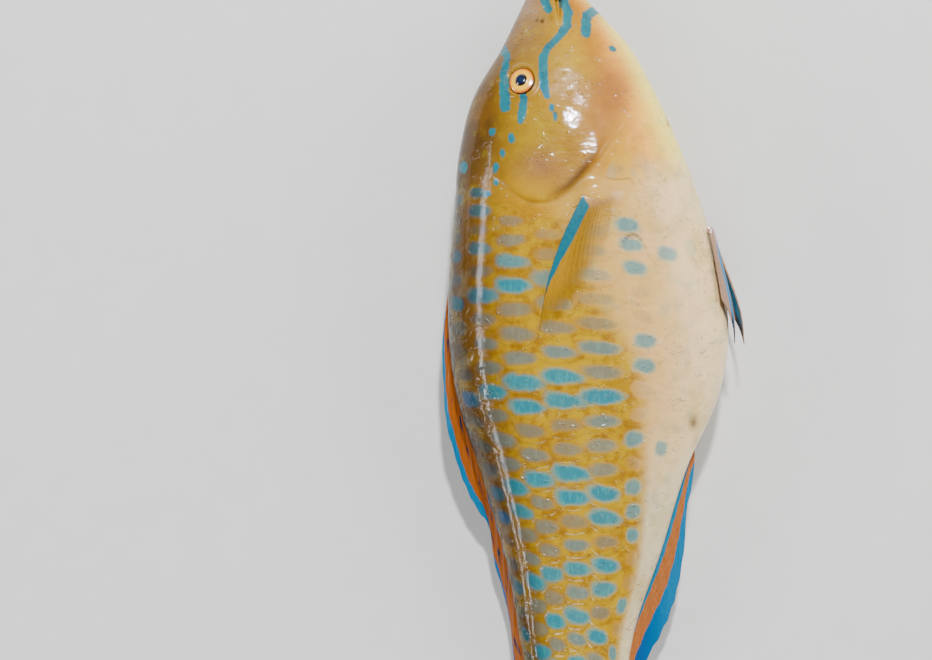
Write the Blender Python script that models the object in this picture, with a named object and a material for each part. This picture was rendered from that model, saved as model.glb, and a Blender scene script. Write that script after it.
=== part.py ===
"""A blue-barred parrotfish, a still life-size model of a caught fish that lies on its left side.

The fish is laid out in its own side view: along runs from the snout to the tail, down from the back
to the belly, and out from its middle plane to its right flank. Lying on the floor, along runs
towards -Y, down towards +X, and out towards +Z.
"""

import math

import bmesh
import bpy
import numpy as np

# Driving sizes, in metres and degrees

STANDARD_LENGTH = 0.330  # snout to the root of the tail fin
SNOUT_Y = 0.1995
AXIS_X = -0.0110
MIDDLE_Z = 0.027
HEAD_LENGTH = 0.100
HEAD_DROP = 0.005
TAIL_DROP = 0.026
DROOP_START = 0.45
DROOP_END = 1.21
GAP = 0.0003
BODY_END = 1.03

# Share of the standard length, then the height of back and belly over the axis and half the width
PROFILE = np.array(
    [
        (0.00, 0.0110, 0.0110, 0.0085),
        (0.03, 0.0145, 0.0145, 0.0104),
        (0.05, 0.0178, 0.0200, 0.0125),
        (0.09, 0.0246, 0.0305, 0.0168),
        (0.15, 0.0368, 0.0408, 0.0222),
        (0.22, 0.0437, 0.0502, 0.0265),
        (0.30, 0.0470, 0.0590, 0.0293),
        (0.38, 0.0500, 0.0650, 0.0304),
        (0.46, 0.0510, 0.0690, 0.0296),
        (0.55, 0.0480, 0.0640, 0.0262),
        (0.64, 0.0395, 0.0500, 0.0214),
        (0.75, 0.0300, 0.0375, 0.0158),
        (0.86, 0.0245, 0.0245, 0.0107),
        (0.93, 0.0215, 0.0210, 0.0080),
        (1.00, 0.0225, 0.0225, 0.0048),
        (1.03, 0.0215, 0.0215, 0.0024),
    ]
)
NOSE_LENGTH = 0.010
WIDEST_SHARE = 0.4
SECTION_POWER = 0.94
RING_POINTS = 36
NOSE_RINGS = 6
HEAD_STEP = 0.0042
TRUNK_START = 0.110
TRUNK_STEP = 0.0066

# The gill opening, as down and along, and the cut in front of the tail's stem
GILL_DOWN = np.array([-0.080, -0.050, -0.027, -0.014, 0.000, 0.011, 0.020, 0.032, 0.050, 0.090])
GILL_ALONG = np.array([0.077, 0.083, 0.090, 0.099, 0.097, 0.087, 0.075, 0.063, 0.055, 0.049])
GILL_POINTS = 26
STEM_CUT = 0.875 * STANDARD_LENGTH

# Gill covers
COVER_CENTRE = (0.080, -0.0075)
COVER_RADII = (0.020, 0.0205)
COVER_REAR_RADIUS = 0.030
COVER_TURN = 82.0
COVER_RAISE = 0.0008
COVER_DEPTH = 0.003
COVER_REAR_GAP = 0.0009
COVER_COLUMNS = 8
COVER_ROWS = 11

# Eyes
EYE_ALONG = 0.0475
EYE_DOWN = -0.016
EYE_RADII = (0.0086, 0.0078, 0.0052)
EYE_DEPTH = 0.0031
RIM_RADII = (0.0074, 0.0067)
RIM_TUBE = 0.0009

# Mouth, lips, beak and nostrils
MOUTH_CORNER = (0.0190, 0.001)
MOUTH_FRONT = -0.002
MOUTH_EDGES = (-0.0020, 0.0038)
LIP_TUBE = (0.0021, 0.0012)
LIP_STEPS = 8
BEAK_HALF_WIDTH = 0.0084
BEAK_REACH = 0.0115
BEAK_TURN = 78.0
BEAK_THICKNESS = 0.0020
BEAK_EDGE_THICKNESS = 0.0009
UPPER_BEAK_DOWN = (-0.0062, 0.0007)
LOWER_BEAK_DOWN = (0.0080, 0.0011)
NOSTRILS = ((0.0205, -0.0066, 0.0009), (0.0200, -0.0088, 0.0007))
NOSTRIL_DEPTH = 0.0016

# Fins
WEB_HALF = 0.00029
RAY_HALF = (0.00072, 0.00038)
RAY_WIDTH = (0.00075, 0.00035)
ROOT_SUNK = 0.0035

DORSAL_BASE = (0.31, 0.87)
DORSAL_RAYS = 19
DORSAL_LENGTHS = ((0.0, 0.2, 0.6, 0.85, 1.0), (0.021, 0.029, 0.033, 0.034, 0.026))
DORSAL_FOLD = ((0.0, 0.3, 0.45, 0.6, 0.8, 1.0), (9.0, 9.0, 14.0, 22.0, 20.0, 10.0))
DORSAL_DROOP = ((0.0, 0.3, 0.5, 1.0), (60.0, 60.0, 48.0, 40.0))
ANAL_BASE = (0.605, 0.87)
ANAL_RAYS = 12
ANAL_LENGTHS = ((0.0, 0.2, 0.6, 0.85, 1.0), (0.018, 0.028, 0.031, 0.031, 0.025))
ANAL_FOLD = ((0.0, 0.15, 0.6, 0.85, 1.0), (27.0, 29.0, 24.0, 17.0, 10.0))
ANAL_DROOP = ((0.0, 1.0), (12.0, 12.0))
EDGE_NOTCH = 0.30

TAIL_ROOT = 0.985 * STANDARD_LENGTH
TAIL_RAYS = 13
TAIL_HALF_ROOT = 0.0195
TAIL_FAN = 15.5
TAIL_LENGTHS = (0.061, 0.077)

PECTORAL_BASE = ((0.0955, 0.0095), (0.1000, 0.0195))
PECTORAL_RAYS = 13
PECTORAL_ANGLES = (-20.0, -6.0)
PECTORAL_LENGTHS = (0.062, 0.016)
PECTORAL_BOW = 0.0035
PECTORAL_REACHES = (0.0, 0.05, 0.20, 0.40, 0.60, 0.80, 1.0)
PECTORAL_LIFTS = (-0.0025, 0.0012, 0.0015, 0.0016, 0.0017, 0.0022, 0.0030)
BUMP_CENTRE = (0.0975, 0.0148)
BUMP_RADII = (0.0046, 0.0076, 0.0026)
POCKET_SKIN = 0.0002

PELVIC_ALONG = (0.108, 0.112)
PELVIC_RAYS = 6
PELVIC_LENGTHS = (0.052, 0.030)
PELVIC_ROOT_ANGLES = (7.0, 16.0)
PELVIC_TIP_ANGLES = {1: (4.0, 24.0), -1: (4.0, 24.0)}
PELVIC_REACHES = (0.0, 0.07, 0.30, 0.53, 0.77, 1.0)
PELVIC_LIFTS = {
    1: (-0.0030, 0.0012, 0.0015, 0.0016, 0.0018, 0.0022),
    -1: (-0.0030, 0.0014, 0.0030, 0.0045, 0.0060, 0.0070),
}


# Small helpers


def smooth_curve(knots, values, at):
    """The height at a place on a smooth curve through the knots."""
    knots = np.asarray(knots, float)
    values = np.asarray(values, float)
    slopes = np.gradient(values, knots)
    left = np.clip(np.searchsorted(knots, at) - 1, 0, len(knots) - 2)
    width = knots[left + 1] - knots[left]
    t = np.clip((at - knots[left]) / width, 0.0, 1.0)
    start = values[left] * (1 + 2 * t) * (1 - t) ** 2 + slopes[left] * width * t * (1 - t) ** 2
    end = values[left + 1] * t**2 * (3 - 2 * t) - slopes[left + 1] * width * t**2 * (1 - t)
    return start + end


def mix(first, last, share):
    return first + (last - first) * share


def unit(vector):
    return vector / np.linalg.norm(vector)


def middle_height(along):
    """The height of the fish's middle plane over the floor: the head and the tail sink towards it."""
    nose = HEAD_DROP * max(0.0, 1 - along / HEAD_LENGTH) ** 2
    rear = (along / STANDARD_LENGTH - DROOP_START) / (DROOP_END - DROOP_START)
    return MIDDLE_Z - nose - TAIL_DROP * max(0.0, rear) ** 1.5


def placed(along, down, out):
    """A place in the fish's own side view, as a point over the floor."""
    return np.array([AXIS_X + down, SNOUT_Y - along, middle_height(along) + out])


# The body's surface


def section(along, lift=0.0):
    """Heights of back and belly, half width, and the level where the section is widest."""
    share = max(along, 0.0) / STANDARD_LENGTH
    back, belly, half = (smooth_curve(PROFILE[:, 0], PROFILE[:, k], share) for k in (1, 2, 3))
    nose = min(max(along, 0.0) / NOSE_LENGTH, 1.0)
    blunt = math.sqrt(max(0.0, 1 - (1 - nose) ** 2))
    back, belly, half = (size * blunt + lift for size in (back, belly, half))
    return back, belly, half, WIDEST_SHARE * (belly - back) / 2


def ring_point(along, angle, lift=0.0):
    """A point on the skin: angle 0 is the back, 90 the right flank, 180 the belly."""
    back, belly, half, widest = section(along, lift)
    turn = math.radians(angle)
    upright = math.copysign(abs(math.cos(turn)) ** SECTION_POWER, math.cos(turn))
    across = math.copysign(abs(math.sin(turn)) ** SECTION_POWER, math.sin(turn))
    reach = widest + back if upright > 0 else belly - widest
    return placed(along, widest - reach * upright, half * across)


def flank_out(along, down):
    """How far the flank stands out from the middle plane at a place in the side view."""
    back, belly, half, widest = section(along)
    reach = widest + back if down < widest else belly - widest
    share = min(1.0, abs(down - widest) / max(reach, 1e-6)) ** (1 / SECTION_POWER)
    return half * (1 - share**2) ** (SECTION_POWER / 2)


def flank_point(along, down, side):
    point = placed(along, down, side * flank_out(along, down))
    point[2] = max(point[2], 0.0)
    return point


def flank_frame(along, down, side):
    """A point of the skin, its directions along and down the fish, and its normal."""
    step = 0.0005
    here = flank_point(along, down, side)
    rearward = unit(flank_point(along + step, down, side) - flank_point(along - step, down, side))
    downward = unit(flank_point(along, down + step, side) - flank_point(along, down - step, side))
    normal = unit(np.cross(downward, rearward))
    return here, rearward, downward, normal * math.copysign(1.0, normal[2] * side)


def skin_point(along, down, side, lift):
    here, _, _, normal = flank_frame(along, down, side)
    return here + normal * lift


# Meshes


def make_object(name, points, faces):
    """A mesh object with its faces turned outwards."""
    mesh = bpy.data.meshes.new(name)
    mesh.from_pydata([tuple(point) for point in points], [], faces)
    work = bmesh.new()
    work.from_mesh(mesh)
    bmesh.ops.recalc_face_normals(work, faces=work.faces)
    work.to_mesh(mesh)
    work.free()
    obj = bpy.data.objects.new(name, mesh)
    bpy.context.scene.collection.objects.link(obj)
    return obj


def joined_rings(name, rings, start=None, end=None):
    """Rings of as many points each, joined by faces, closed by a point or a flat face at each end."""
    size = len(rings[0])
    points = [point for ring in rings for point in ring]
    faces = []
    for ring in range(len(rings) - 1):
        for k in range(size):
            low, high = ring * size, (ring + 1) * size
            after = (k + 1) % size
            faces.append((low + k, low + after, high + after, high + k))
    for base, tip in ((0, start), (len(points) - size, end)):
        if tip is None:
            faces.append([base + k for k in range(size)])
            continue
        faces += [(base + k, base + (k + 1) % size, len(points)) for k in range(size)]
        points = points + [tip]
    return make_object(name, points, faces)


def closed_sheet(name, over, under):
    """A closed sheet between two grids of points, both faces split into the same triangles."""
    rows, columns = over.shape[:2]
    offset = rows * columns
    faces = []
    for i in range(rows - 1):
        for j in range(columns - 1):
            a, b = i * columns + j, i * columns + j + 1
            c, d = a + columns, b + columns
            for one in ((a, b, d), (a, d, c)):
                faces += [one, tuple(offset + k for k in reversed(one))]
    edge = [j for j in range(columns)]
    edge += [i * columns + columns - 1 for i in range(1, rows)]
    edge += [(rows - 1) * columns + j for j in range(columns - 2, -1, -1)]
    edge += [i * columns for i in range(rows - 2, 0, -1)]
    for k, a in enumerate(edge):
        b = edge[(k + 1) % len(edge)]
        faces += [(a, b, offset + b), (a, offset + b, offset + a)]
    points = np.concatenate([over.reshape(-1, 3), under.reshape(-1, 3)])
    return make_object(name, points, faces)


def grid_normals(grid):
    across = np.gradient(grid, axis=0)
    lengthwise = np.gradient(grid, axis=1)
    normals = np.cross(across, lengthwise)
    return normals / np.linalg.norm(normals, axis=2, keepdims=True)


def side_prism(name, outline):
    """A block with the given outline of along and down, right through the fish."""
    low = [(AXIS_X + down, SNOUT_Y - along, -0.05) for along, down in outline]
    high = [(x, y, 0.15) for x, y, _ in low]
    return joined_rings(name, [low, high])


def swept_tube(name, path, radii, sides=7):
    """A round tube along a path, its radius given at each point."""
    path = np.array(path)
    tangents = np.gradient(path, axis=0)
    rings = []
    for point, tangent, radius in zip(path, tangents, radii):
        tangent = unit(tangent)
        first = unit(np.cross(tangent, (1.0, 0.0, 0.0)))
        second = np.cross(tangent, first)
        turns = [2 * math.pi * k / sides for k in range(sides)]
        rings.append([point + radius * (math.cos(t) * first + math.sin(t) * second) for t in turns])
    return joined_rings(name, rings)


def oval_ball(name, centre, axes, radii, around=20, rings=10):
    """An ellipsoid with its poles on the third of its axes."""
    levels = []
    for k in range(1, rings):
        polar = math.pi * k / rings
        level = centre + axes[2] * radii[2] * math.cos(polar)
        turns = [2 * math.pi * j / around for j in range(around)]
        spread = math.sin(polar)
        levels.append(
            [
                level
                + axes[0] * radii[0] * spread * math.cos(t)
                + axes[1] * radii[1] * spread * math.sin(t)
                for t in turns
            ]
        )
    pole = axes[2] * radii[2]
    return joined_rings(name, levels, centre + pole, centre - pole)


def keep_largest(obj):
    """Leaves only the closed surface with the most volume."""
    work = bmesh.new()
    work.from_mesh(obj.data)
    bmesh.ops.triangulate(work, faces=work.faces)
    left = set(work.faces)
    shells = []
    while left:
        shell, front = set(), [left.pop()]
        while front:
            face = front.pop()
            shell.add(face)
            near = {other for edge in face.edges for other in edge.link_faces} & left
            left -= near
            front += near
        shells.append(shell)
    volumes = []
    for shell in shells:
        corners = [[vert.co for vert in face.verts] for face in shell]
        volumes.append(abs(sum(a.dot(b.cross(c)) for a, b, c in corners)))
    largest = volumes.index(max(volumes))
    spare = [face for k, shell in enumerate(shells) if k != largest for face in shell]
    bmesh.ops.delete(work, geom=spare, context="FACES")
    loose = [vert for vert in work.verts if not vert.link_faces]
    bmesh.ops.delete(work, geom=loose, context="VERTS")
    work.to_mesh(obj.data)
    work.free()


def combine(target, tools, operation):
    """Applies one Boolean with all the tools, and removes them."""
    group = bpy.data.collections.new("tools")
    bpy.context.scene.collection.children.link(group)
    for tool in tools:
        group.objects.link(tool)
    boolean = target.modifiers.new(operation, "BOOLEAN")
    boolean.operation = operation
    boolean.operand_type = "COLLECTION"
    boolean.collection = group
    boolean.solver = "EXACT"
    bpy.context.view_layer.update()
    graph = bpy.context.evaluated_depsgraph_get()
    result = bpy.data.meshes.new_from_object(target.evaluated_get(graph))
    target.modifiers.clear()
    target.data = result
    for tool in tools:
        bpy.data.objects.remove(tool)
    bpy.data.collections.remove(group)
    keep_largest(target)
    return target


def finish(obj, colour, roughness, angle=35.0):
    """Gives an object its own material and smooth shading."""
    material = bpy.data.materials.new(obj.name)
    material.use_nodes = True
    shader = material.node_tree.nodes["Principled BSDF"]
    shader.inputs["Base Color"].default_value = (*colour, 1.0)
    shader.inputs["Roughness"].default_value = roughness
    obj.data.materials.clear()
    obj.data.materials.append(material)
    obj.data.polygons.foreach_set("material_index", [0] * len(obj.data.polygons))
    obj.data.shade_smooth()
    obj.data.set_sharp_from_angle(angle=math.radians(angle))


# Body


def body_solid(name, lift=0.0):
    """The whole body from snout to tail root, flat where it rests on the floor."""
    places = [NOSE_LENGTH * (1 - math.cos(math.pi / 2 * k / NOSE_RINGS)) for k in range(1, NOSE_RINGS)]
    places += list(np.arange(NOSE_LENGTH, TRUNK_START, HEAD_STEP))
    end = BODY_END * STANDARD_LENGTH + lift
    places += list(np.linspace(TRUNK_START, end, round((end - TRUNK_START) / TRUNK_STEP) + 1))
    rings = []
    for along in places:
        ring = [ring_point(along, 360 * k / RING_POINTS, lift) for k in range(RING_POINTS)]
        for point in ring:
            point[2] = max(point[2], 0.0)
        rings.append(ring)
    return joined_rings(name, rings, start=placed(-lift, 0.0, 0.0))


def gill_line(shift):
    """The gill opening as points of along and down, moved square to itself by the shift."""
    downs = np.linspace(GILL_DOWN[0], GILL_DOWN[-1], GILL_POINTS)
    alongs = smooth_curve(GILL_DOWN, GILL_ALONG, downs)
    slope = np.gradient(alongs, downs)
    length = np.sqrt(1 + slope**2)
    return list(zip(alongs + shift / length, downs - shift * slope / length))


def body_part(name, outline):
    return combine(body_solid(name), [side_prism(name + "_block", outline)], "INTERSECT")


# Mouth


def mouth_wedge():
    front = [(MOUTH_FRONT, edge) for edge in MOUTH_EDGES]
    return side_prism("mouth_cut", [MOUTH_CORNER, *front])


def lip(name, edge):
    """A lip round the mouth, from corner to corner along one edge of the gape."""
    path, radii = [], []
    for k in range(-LIP_STEPS, LIP_STEPS + 1):
        turn = math.pi / 2 * k / LIP_STEPS
        share = 1 - math.cos(turn)
        along = mix(0.0004, MOUTH_CORNER[0], share)
        down = mix(edge, MOUTH_CORNER[1], (along - MOUTH_FRONT) / (MOUTH_CORNER[0] - MOUTH_FRONT))
        path.append(placed(along, down, math.copysign(flank_out(along, down), turn)))
        radii.append(mix(LIP_TUBE[0], LIP_TUBE[1], share))
    return swept_tube(name, path, radii)


def beak(name, downs, swell=0.0):
    """A tooth plate bent round the jaw, thick at its root and thin at its cutting edge."""
    columns = 15
    outer = np.zeros((3, columns, 3))
    inner = np.zeros((3, columns, 3))
    limit = math.radians(BEAK_TURN) + 1.5 * swell / BEAK_HALF_WIDTH
    for row in range(3):
        share = row / 2
        down = mix(downs[0], downs[1], share)
        down += math.copysign(swell, downs[1] - downs[0]) * (2 * share - 1)
        scale = mix(0.86, 0.97, share)
        thick = mix(BEAK_THICKNESS, BEAK_EDGE_THICKNESS, share)
        for k in range(columns):
            turn = mix(-limit, limit, k / (columns - 1))
            for grid, size in ((outer, swell), (inner, -thick - swell)):
                out = (BEAK_HALF_WIDTH * scale + size) * math.sin(turn)
                ahead = (BEAK_REACH * scale + size) * math.cos(turn)
                grid[row, k] = placed(BEAK_REACH + 0.0002 - ahead, down, out)
    return closed_sheet(name, outer, inner)


def nostril(name, along, down, radius, side):
    here, rearward, downward, normal = flank_frame(along, down, side)
    rings = []
    for height in (-NOSTRIL_DEPTH, NOSTRIL_DEPTH):
        turns = [2 * math.pi * k / 10 for k in range(10)]
        circle = [math.cos(t) * rearward + math.sin(t) * downward for t in turns]
        rings.append([here + height * normal + radius * spoke for spoke in circle])
    return joined_rings(name, rings)


# Eyes


def eyeball(name, side, swell=0.0):
    here, rearward, downward, normal = flank_frame(EYE_ALONG, EYE_DOWN, side)
    radii = [radius + swell for radius in EYE_RADII]
    return oval_ball(name, here - normal * EYE_DEPTH, (rearward, downward, normal), radii)


def eye_rim(name, side):
    """The raised edge of skin round the eye."""
    steps, sides = 20, 5
    rings = []
    for k in range(steps):
        turn = 2 * math.pi * k / steps
        spoke = np.array([math.cos(turn), math.sin(turn)])
        place = (EYE_ALONG, EYE_DOWN) + spoke * RIM_RADII
        here, rearward, downward, normal = flank_frame(*place, side)
        outward = rearward * spoke[0] + downward * spoke[1]
        ring = []
        for j in range(sides):
            tilt = 2 * math.pi * j / sides
            ring.append(here + RIM_TUBE * (math.cos(tilt) * outward + math.sin(tilt) * normal))
        rings.append(ring)
    points = [point for ring in rings for point in ring]
    faces = []
    for k in range(steps):
        low, high = k * sides, (k + 1) % steps * sides
        for j in range(sides):
            after = (j + 1) % sides
            faces.append((low + j, low + after, high + after, high + j))
    return make_object(name, points, faces)


# Gill covers


def gill_cover(name, side, swell=0.0, over=COVER_RAISE):
    """A plate between the cheek's rear arc and the gill opening; a swollen one cuts its seat."""
    outer = np.zeros((COVER_ROWS, COVER_COLUMNS, 3))
    inner = np.zeros((COVER_ROWS, COVER_COLUMNS, 3))
    for row in range(COVER_ROWS):
        turn = math.radians(mix(-COVER_TURN, COVER_TURN, row / (COVER_ROWS - 1)))
        down = COVER_CENTRE[1] + (COVER_RADII[1] + swell) * math.sin(turn)
        front = COVER_CENTRE[0] - (COVER_RADII[0] + swell) * math.cos(turn)
        line = smooth_curve(GILL_DOWN, GILL_ALONG, down) - COVER_REAR_GAP + 10 * swell
        rear = min(line, COVER_CENTRE[0] + COVER_REAR_RADIUS * math.cos(turn) + swell)
        for column in range(COVER_COLUMNS):
            along = mix(front, rear, column / (COVER_COLUMNS - 1))
            outer[row, column] = skin_point(along, down, side, over)
            inner[row, column] = skin_point(along, down, side, -COVER_DEPTH - swell)
    if not swell:
        outer[..., 2] = np.maximum(outer[..., 2], 0.0)
    return closed_sheet(name, outer, inner)


# Fins


def ray_sheet(name, rays, lift=None, notch=0.0):
    """A fin as one closed sheet: each ray is a ridge on both faces, with the web between.

    rays holds one row of points for each ray, from root to tip. The sheet is thick along lift, or
    square to itself where that is None. The web's edge is drawn back between the tips by notch.
    """
    count, steps = rays.shape[:2]
    shares = np.linspace(0.0, 1.0, steps)
    ray_half = mix(RAY_HALF[0], RAY_HALF[1], shares)
    ray_width = mix(RAY_WIDTH[0], RAY_WIDTH[1], shares)
    columns, halves = [], []
    for k in range(count):
        before = rays[k - 1] if k else 2 * rays[0] - rays[1]
        after = rays[k + 1] if k < count - 1 else 2 * rays[-1] - rays[-2]
        for beside in (before, None, after):
            if beside is None:
                columns.append(rays[k])
                halves.append(ray_half)
                continue
            away = beside - rays[k]
            share = np.minimum(0.33, ray_width / np.linalg.norm(away, axis=1))
            columns.append(rays[k] + away * share[:, None])
            halves.append(np.full(steps, WEB_HALF))
        if notch and k < count - 1:
            web = (rays[k] + rays[k + 1]) / 2
            web[-1] = mix(web[-1], web[-2], notch)
            columns.append(web)
            halves.append(np.full(steps, WEB_HALF))
    grid = np.array(columns)
    half = np.array(halves)[..., None]
    normals = grid_normals(grid) if lift is None else np.broadcast_to(lift, grid.shape)
    return closed_sheet(name, grid + normals * half, grid - normals * half)


def midline_fin(name, base, count, lengths, fold, droop, angle, steps=4):
    """A fin folded back along the body's middle plane, drooping towards the floor."""
    rays = np.zeros((count, steps, 3))
    inward = 1.0 if angle == 0 else -1.0
    for k in range(count):
        share = k / (count - 1)
        along = mix(base[0], base[1], share) * STANDARD_LENGTH
        root = ring_point(along, angle)
        tangent = unit(ring_point(along + 0.004, angle) - ring_point(along - 0.004, angle))
        outward = unit(np.cross(tangent, (0.0, 0.0, inward)))
        lean = math.radians(np.interp(share, *droop))
        upright = outward * math.cos(lean) - np.array([0.0, 0.0, math.sin(lean)])
        folded = np.interp(share, *fold)
        length = smooth_curve(*lengths, share) + ROOT_SUNK / math.sin(math.radians(folded))
        for step in range(steps):
            reach = step / (steps - 1)
            bend = math.radians(folded * (1.15 - 0.3 * reach))
            forward = tangent * math.cos(bend) + upright * math.sin(bend)
            rays[k, step] = root - outward * ROOT_SUNK + forward * length * reach
    return ray_sheet(name, rays, notch=EDGE_NOTCH)


def tail_rays(steps=7):
    rays = np.zeros((TAIL_RAYS, steps, 3))
    for k in range(TAIL_RAYS):
        spread = 2 * k / (TAIL_RAYS - 1) - 1
        turn = math.radians(TAIL_FAN * spread)
        length = mix(TAIL_LENGTHS[0], TAIL_LENGTHS[1], abs(spread) ** 2.2)
        for step in range(steps):
            reach = length * step / (steps - 1)
            along = TAIL_ROOT + reach * math.cos(turn)
            down = TAIL_HALF_ROOT * spread + reach * math.sin(turn)
            rays[k, step] = placed(along, down, 0.0)
    return rays


def pectoral_places(share, reach, widen=0.0):
    """Along and down of a place on the pectoral fin, from its upper to its lower ray."""
    spread = mix(-widen, 1 + widen, share)
    kept = min(max(spread, 0.0), 1.0)
    angle = math.radians(mix(PECTORAL_ANGLES[0], PECTORAL_ANGLES[1], spread))
    length = mix(PECTORAL_LENGTHS[0], PECTORAL_LENGTHS[1], kept**1.1)
    root = [mix(PECTORAL_BASE[0][k], PECTORAL_BASE[1][k], spread) for k in (0, 1)]
    bow = PECTORAL_BOW * math.sin(math.pi * min(max(reach, 0.0), 1.0)) * (1 - kept)
    along = root[0] + reach * length * math.cos(angle)
    return along, root[1] + reach * length * math.sin(angle) - bow


def right_pectoral():
    rays = np.zeros((PECTORAL_RAYS, len(PECTORAL_REACHES), 3))
    for k in range(PECTORAL_RAYS):
        for step, reach in enumerate(PECTORAL_REACHES):
            along, down = pectoral_places(k / (PECTORAL_RAYS - 1), reach)
            rays[k, step] = skin_point(along, down, 1, PECTORAL_LIFTS[step])
    return ray_sheet("pectoral_fin_right", rays)


def left_pectoral(steps=6):
    """The fin pressed between the body and the floor, in a pocket of the lower flank."""
    rays = np.zeros((PECTORAL_RAYS, steps, 3))
    for k in range(PECTORAL_RAYS):
        for step in range(steps):
            along, down = pectoral_places(k / (PECTORAL_RAYS - 1), step / (steps - 1))
            rays[k, step] = flank_point(along, down, -1)
            rays[k, step, 2] += POCKET_SKIN + RAY_HALF[0]
    return ray_sheet("pectoral_fin_left", rays, lift=(0.0, 0.0, 1.0))


def left_pocket(rows=14, columns=8):
    """The cutter for the pocket: the fin's outline a little wider, open to the floor."""
    over = np.zeros((rows, columns, 3))
    under = np.zeros((rows, columns, 3))
    for row in range(rows):
        for column in range(columns):
            reach = mix(-0.02, 1.03, column / (columns - 1))
            along, down = pectoral_places(row / (rows - 1), reach, widen=0.08)
            point = flank_point(along, down, -1)
            over[row, column] = point + (0.0, 0.0, POCKET_SKIN + 2 * RAY_HALF[0] + 2 * GAP)
            under[row, column] = point - (0.0, 0.0, 0.003)
    return closed_sheet("pocket", over, under)


def pelvic_fin(name, side):
    rays = np.zeros((PELVIC_RAYS, len(PELVIC_REACHES), 3))
    for k in range(PELVIC_RAYS):
        share = k / (PELVIC_RAYS - 1)
        root_angle = mix(PELVIC_ROOT_ANGLES[0], PELVIC_ROOT_ANGLES[1], share)
        tip_angle = mix(*PELVIC_TIP_ANGLES[side], share)
        length = mix(PELVIC_LENGTHS[0], PELVIC_LENGTHS[1], share)
        for step, reach in enumerate(PELVIC_REACHES):
            along = mix(PELVIC_ALONG[0], PELVIC_ALONG[1], share) + length * reach
            angle = 180 - side * mix(root_angle, tip_angle, reach)
            rays[k, step] = ring_point(along, angle, PELVIC_LIFTS[side][step])
    return ray_sheet(name, rays)


def fin_bump(name, swell=0.0):
    """The fleshy root of the right pectoral fin."""
    here, rearward, downward, normal = flank_frame(*BUMP_CENTRE, 1)
    radii = [radius + swell for radius in BUMP_RADII]
    return oval_ball(name, here, (rearward, downward, normal), radii, around=14, rings=8)


def clear_of_body(fin, *more):
    """Cuts the sunk root away, so that the fin meets the skin with the gap."""
    return combine(fin, [body_solid("clearance", GAP), *more], "DIFFERENCE")


# Assembly


def make_head():
    front = [(-0.03, GILL_DOWN[-1]), (-0.03, GILL_DOWN[0])]
    head = body_part("head", gill_line(-GAP / 2) + front)
    combine(head, [mouth_wedge()], "DIFFERENCE")
    raised = [lip("upper_lip", MOUTH_EDGES[0]), lip("lower_lip", MOUTH_EDGES[1])]
    raised += [eye_rim("rim", side) for side in (1, -1)]
    combine(head, raised, "UNION")
    cutters = [beak("upper_seat", UPPER_BEAK_DOWN, GAP), beak("lower_seat", LOWER_BEAK_DOWN, GAP)]
    for side in (1, -1):
        cutters.append(eyeball("socket", side, GAP))
        cutters.append(gill_cover("seat", side, GAP, over=0.006))
        cutters += [nostril("nostril", *place, side) for place in NOSTRILS]
    return combine(head, cutters, "DIFFERENCE")


def make_trunk():
    rear = [(STEM_CUT - GAP / 2, GILL_DOWN[-1]), (STEM_CUT - GAP / 2, GILL_DOWN[0])]
    trunk = body_part("trunk", gill_line(GAP / 2) + rear)
    combine(trunk, [fin_bump("bump")], "UNION")
    return combine(trunk, [left_pocket()], "DIFFERENCE")


def make_stem():
    front, rear = STEM_CUT + GAP / 2, 1.1 * STANDARD_LENGTH
    corners = [(front, -0.06), (rear, -0.06), (rear, 0.06), (front, 0.06)]
    return body_part("tail_stem", corners)


def clear_scene():
    for obj in list(bpy.data.objects):
        bpy.data.objects.remove(obj)


def main():
    clear_scene()
    finish(make_head(), (0.42, 0.30, 0.12), 0.35)
    finish(make_trunk(), (0.45, 0.30, 0.08), 0.35)
    finish(make_stem(), (0.45, 0.31, 0.09), 0.35)
    finish(beak("upper_beak", UPPER_BEAK_DOWN), (0.78, 0.72, 0.62), 0.3)
    finish(beak("lower_beak", LOWER_BEAK_DOWN), (0.78, 0.72, 0.62), 0.3)
    for word, side in (("right", 1), ("left", -1)):
        finish(eyeball("eye_" + word, side), (0.60, 0.32, 0.06), 0.1)
        finish(gill_cover("gill_cover_" + word, side), (0.44, 0.30, 0.14), 0.35)
        pelvic = clear_of_body(pelvic_fin("pelvic_fin_" + word, side))
        finish(pelvic, (0.55, 0.42, 0.22), 0.4)
    dorsal = midline_fin(
        "dorsal_fin", DORSAL_BASE, DORSAL_RAYS, DORSAL_LENGTHS, DORSAL_FOLD, DORSAL_DROOP, 0
    )
    finish(clear_of_body(dorsal), (0.60, 0.28, 0.06), 0.4)
    anal = midline_fin("anal_fin", ANAL_BASE, ANAL_RAYS, ANAL_LENGTHS, ANAL_FOLD, ANAL_DROOP, 180)
    finish(clear_of_body(anal), (0.60, 0.28, 0.06), 0.4)
    finish(clear_of_body(ray_sheet("tail_fin", tail_rays())), (0.45, 0.36, 0.20), 0.4)
    bump = fin_bump("bump_clearance", GAP)
    finish(clear_of_body(right_pectoral(), bump), (0.55, 0.36, 0.12), 0.4)
    finish(left_pectoral(), (0.55, 0.36, 0.12), 0.4)


main()
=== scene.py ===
"""The looks of a blue-barred parrotfish that lies on its left side: skin, scales, eyes, beak and fins.

Places on the fish are along (snout to tail), down (back to belly) and out (towards the right flank),
or along and an angle round the body: 0 is the back, 90 the right flank, 180 the belly.
"""

import math
from functools import partial

import bpy
import numpy as np
from mathutils import Matrix


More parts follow.
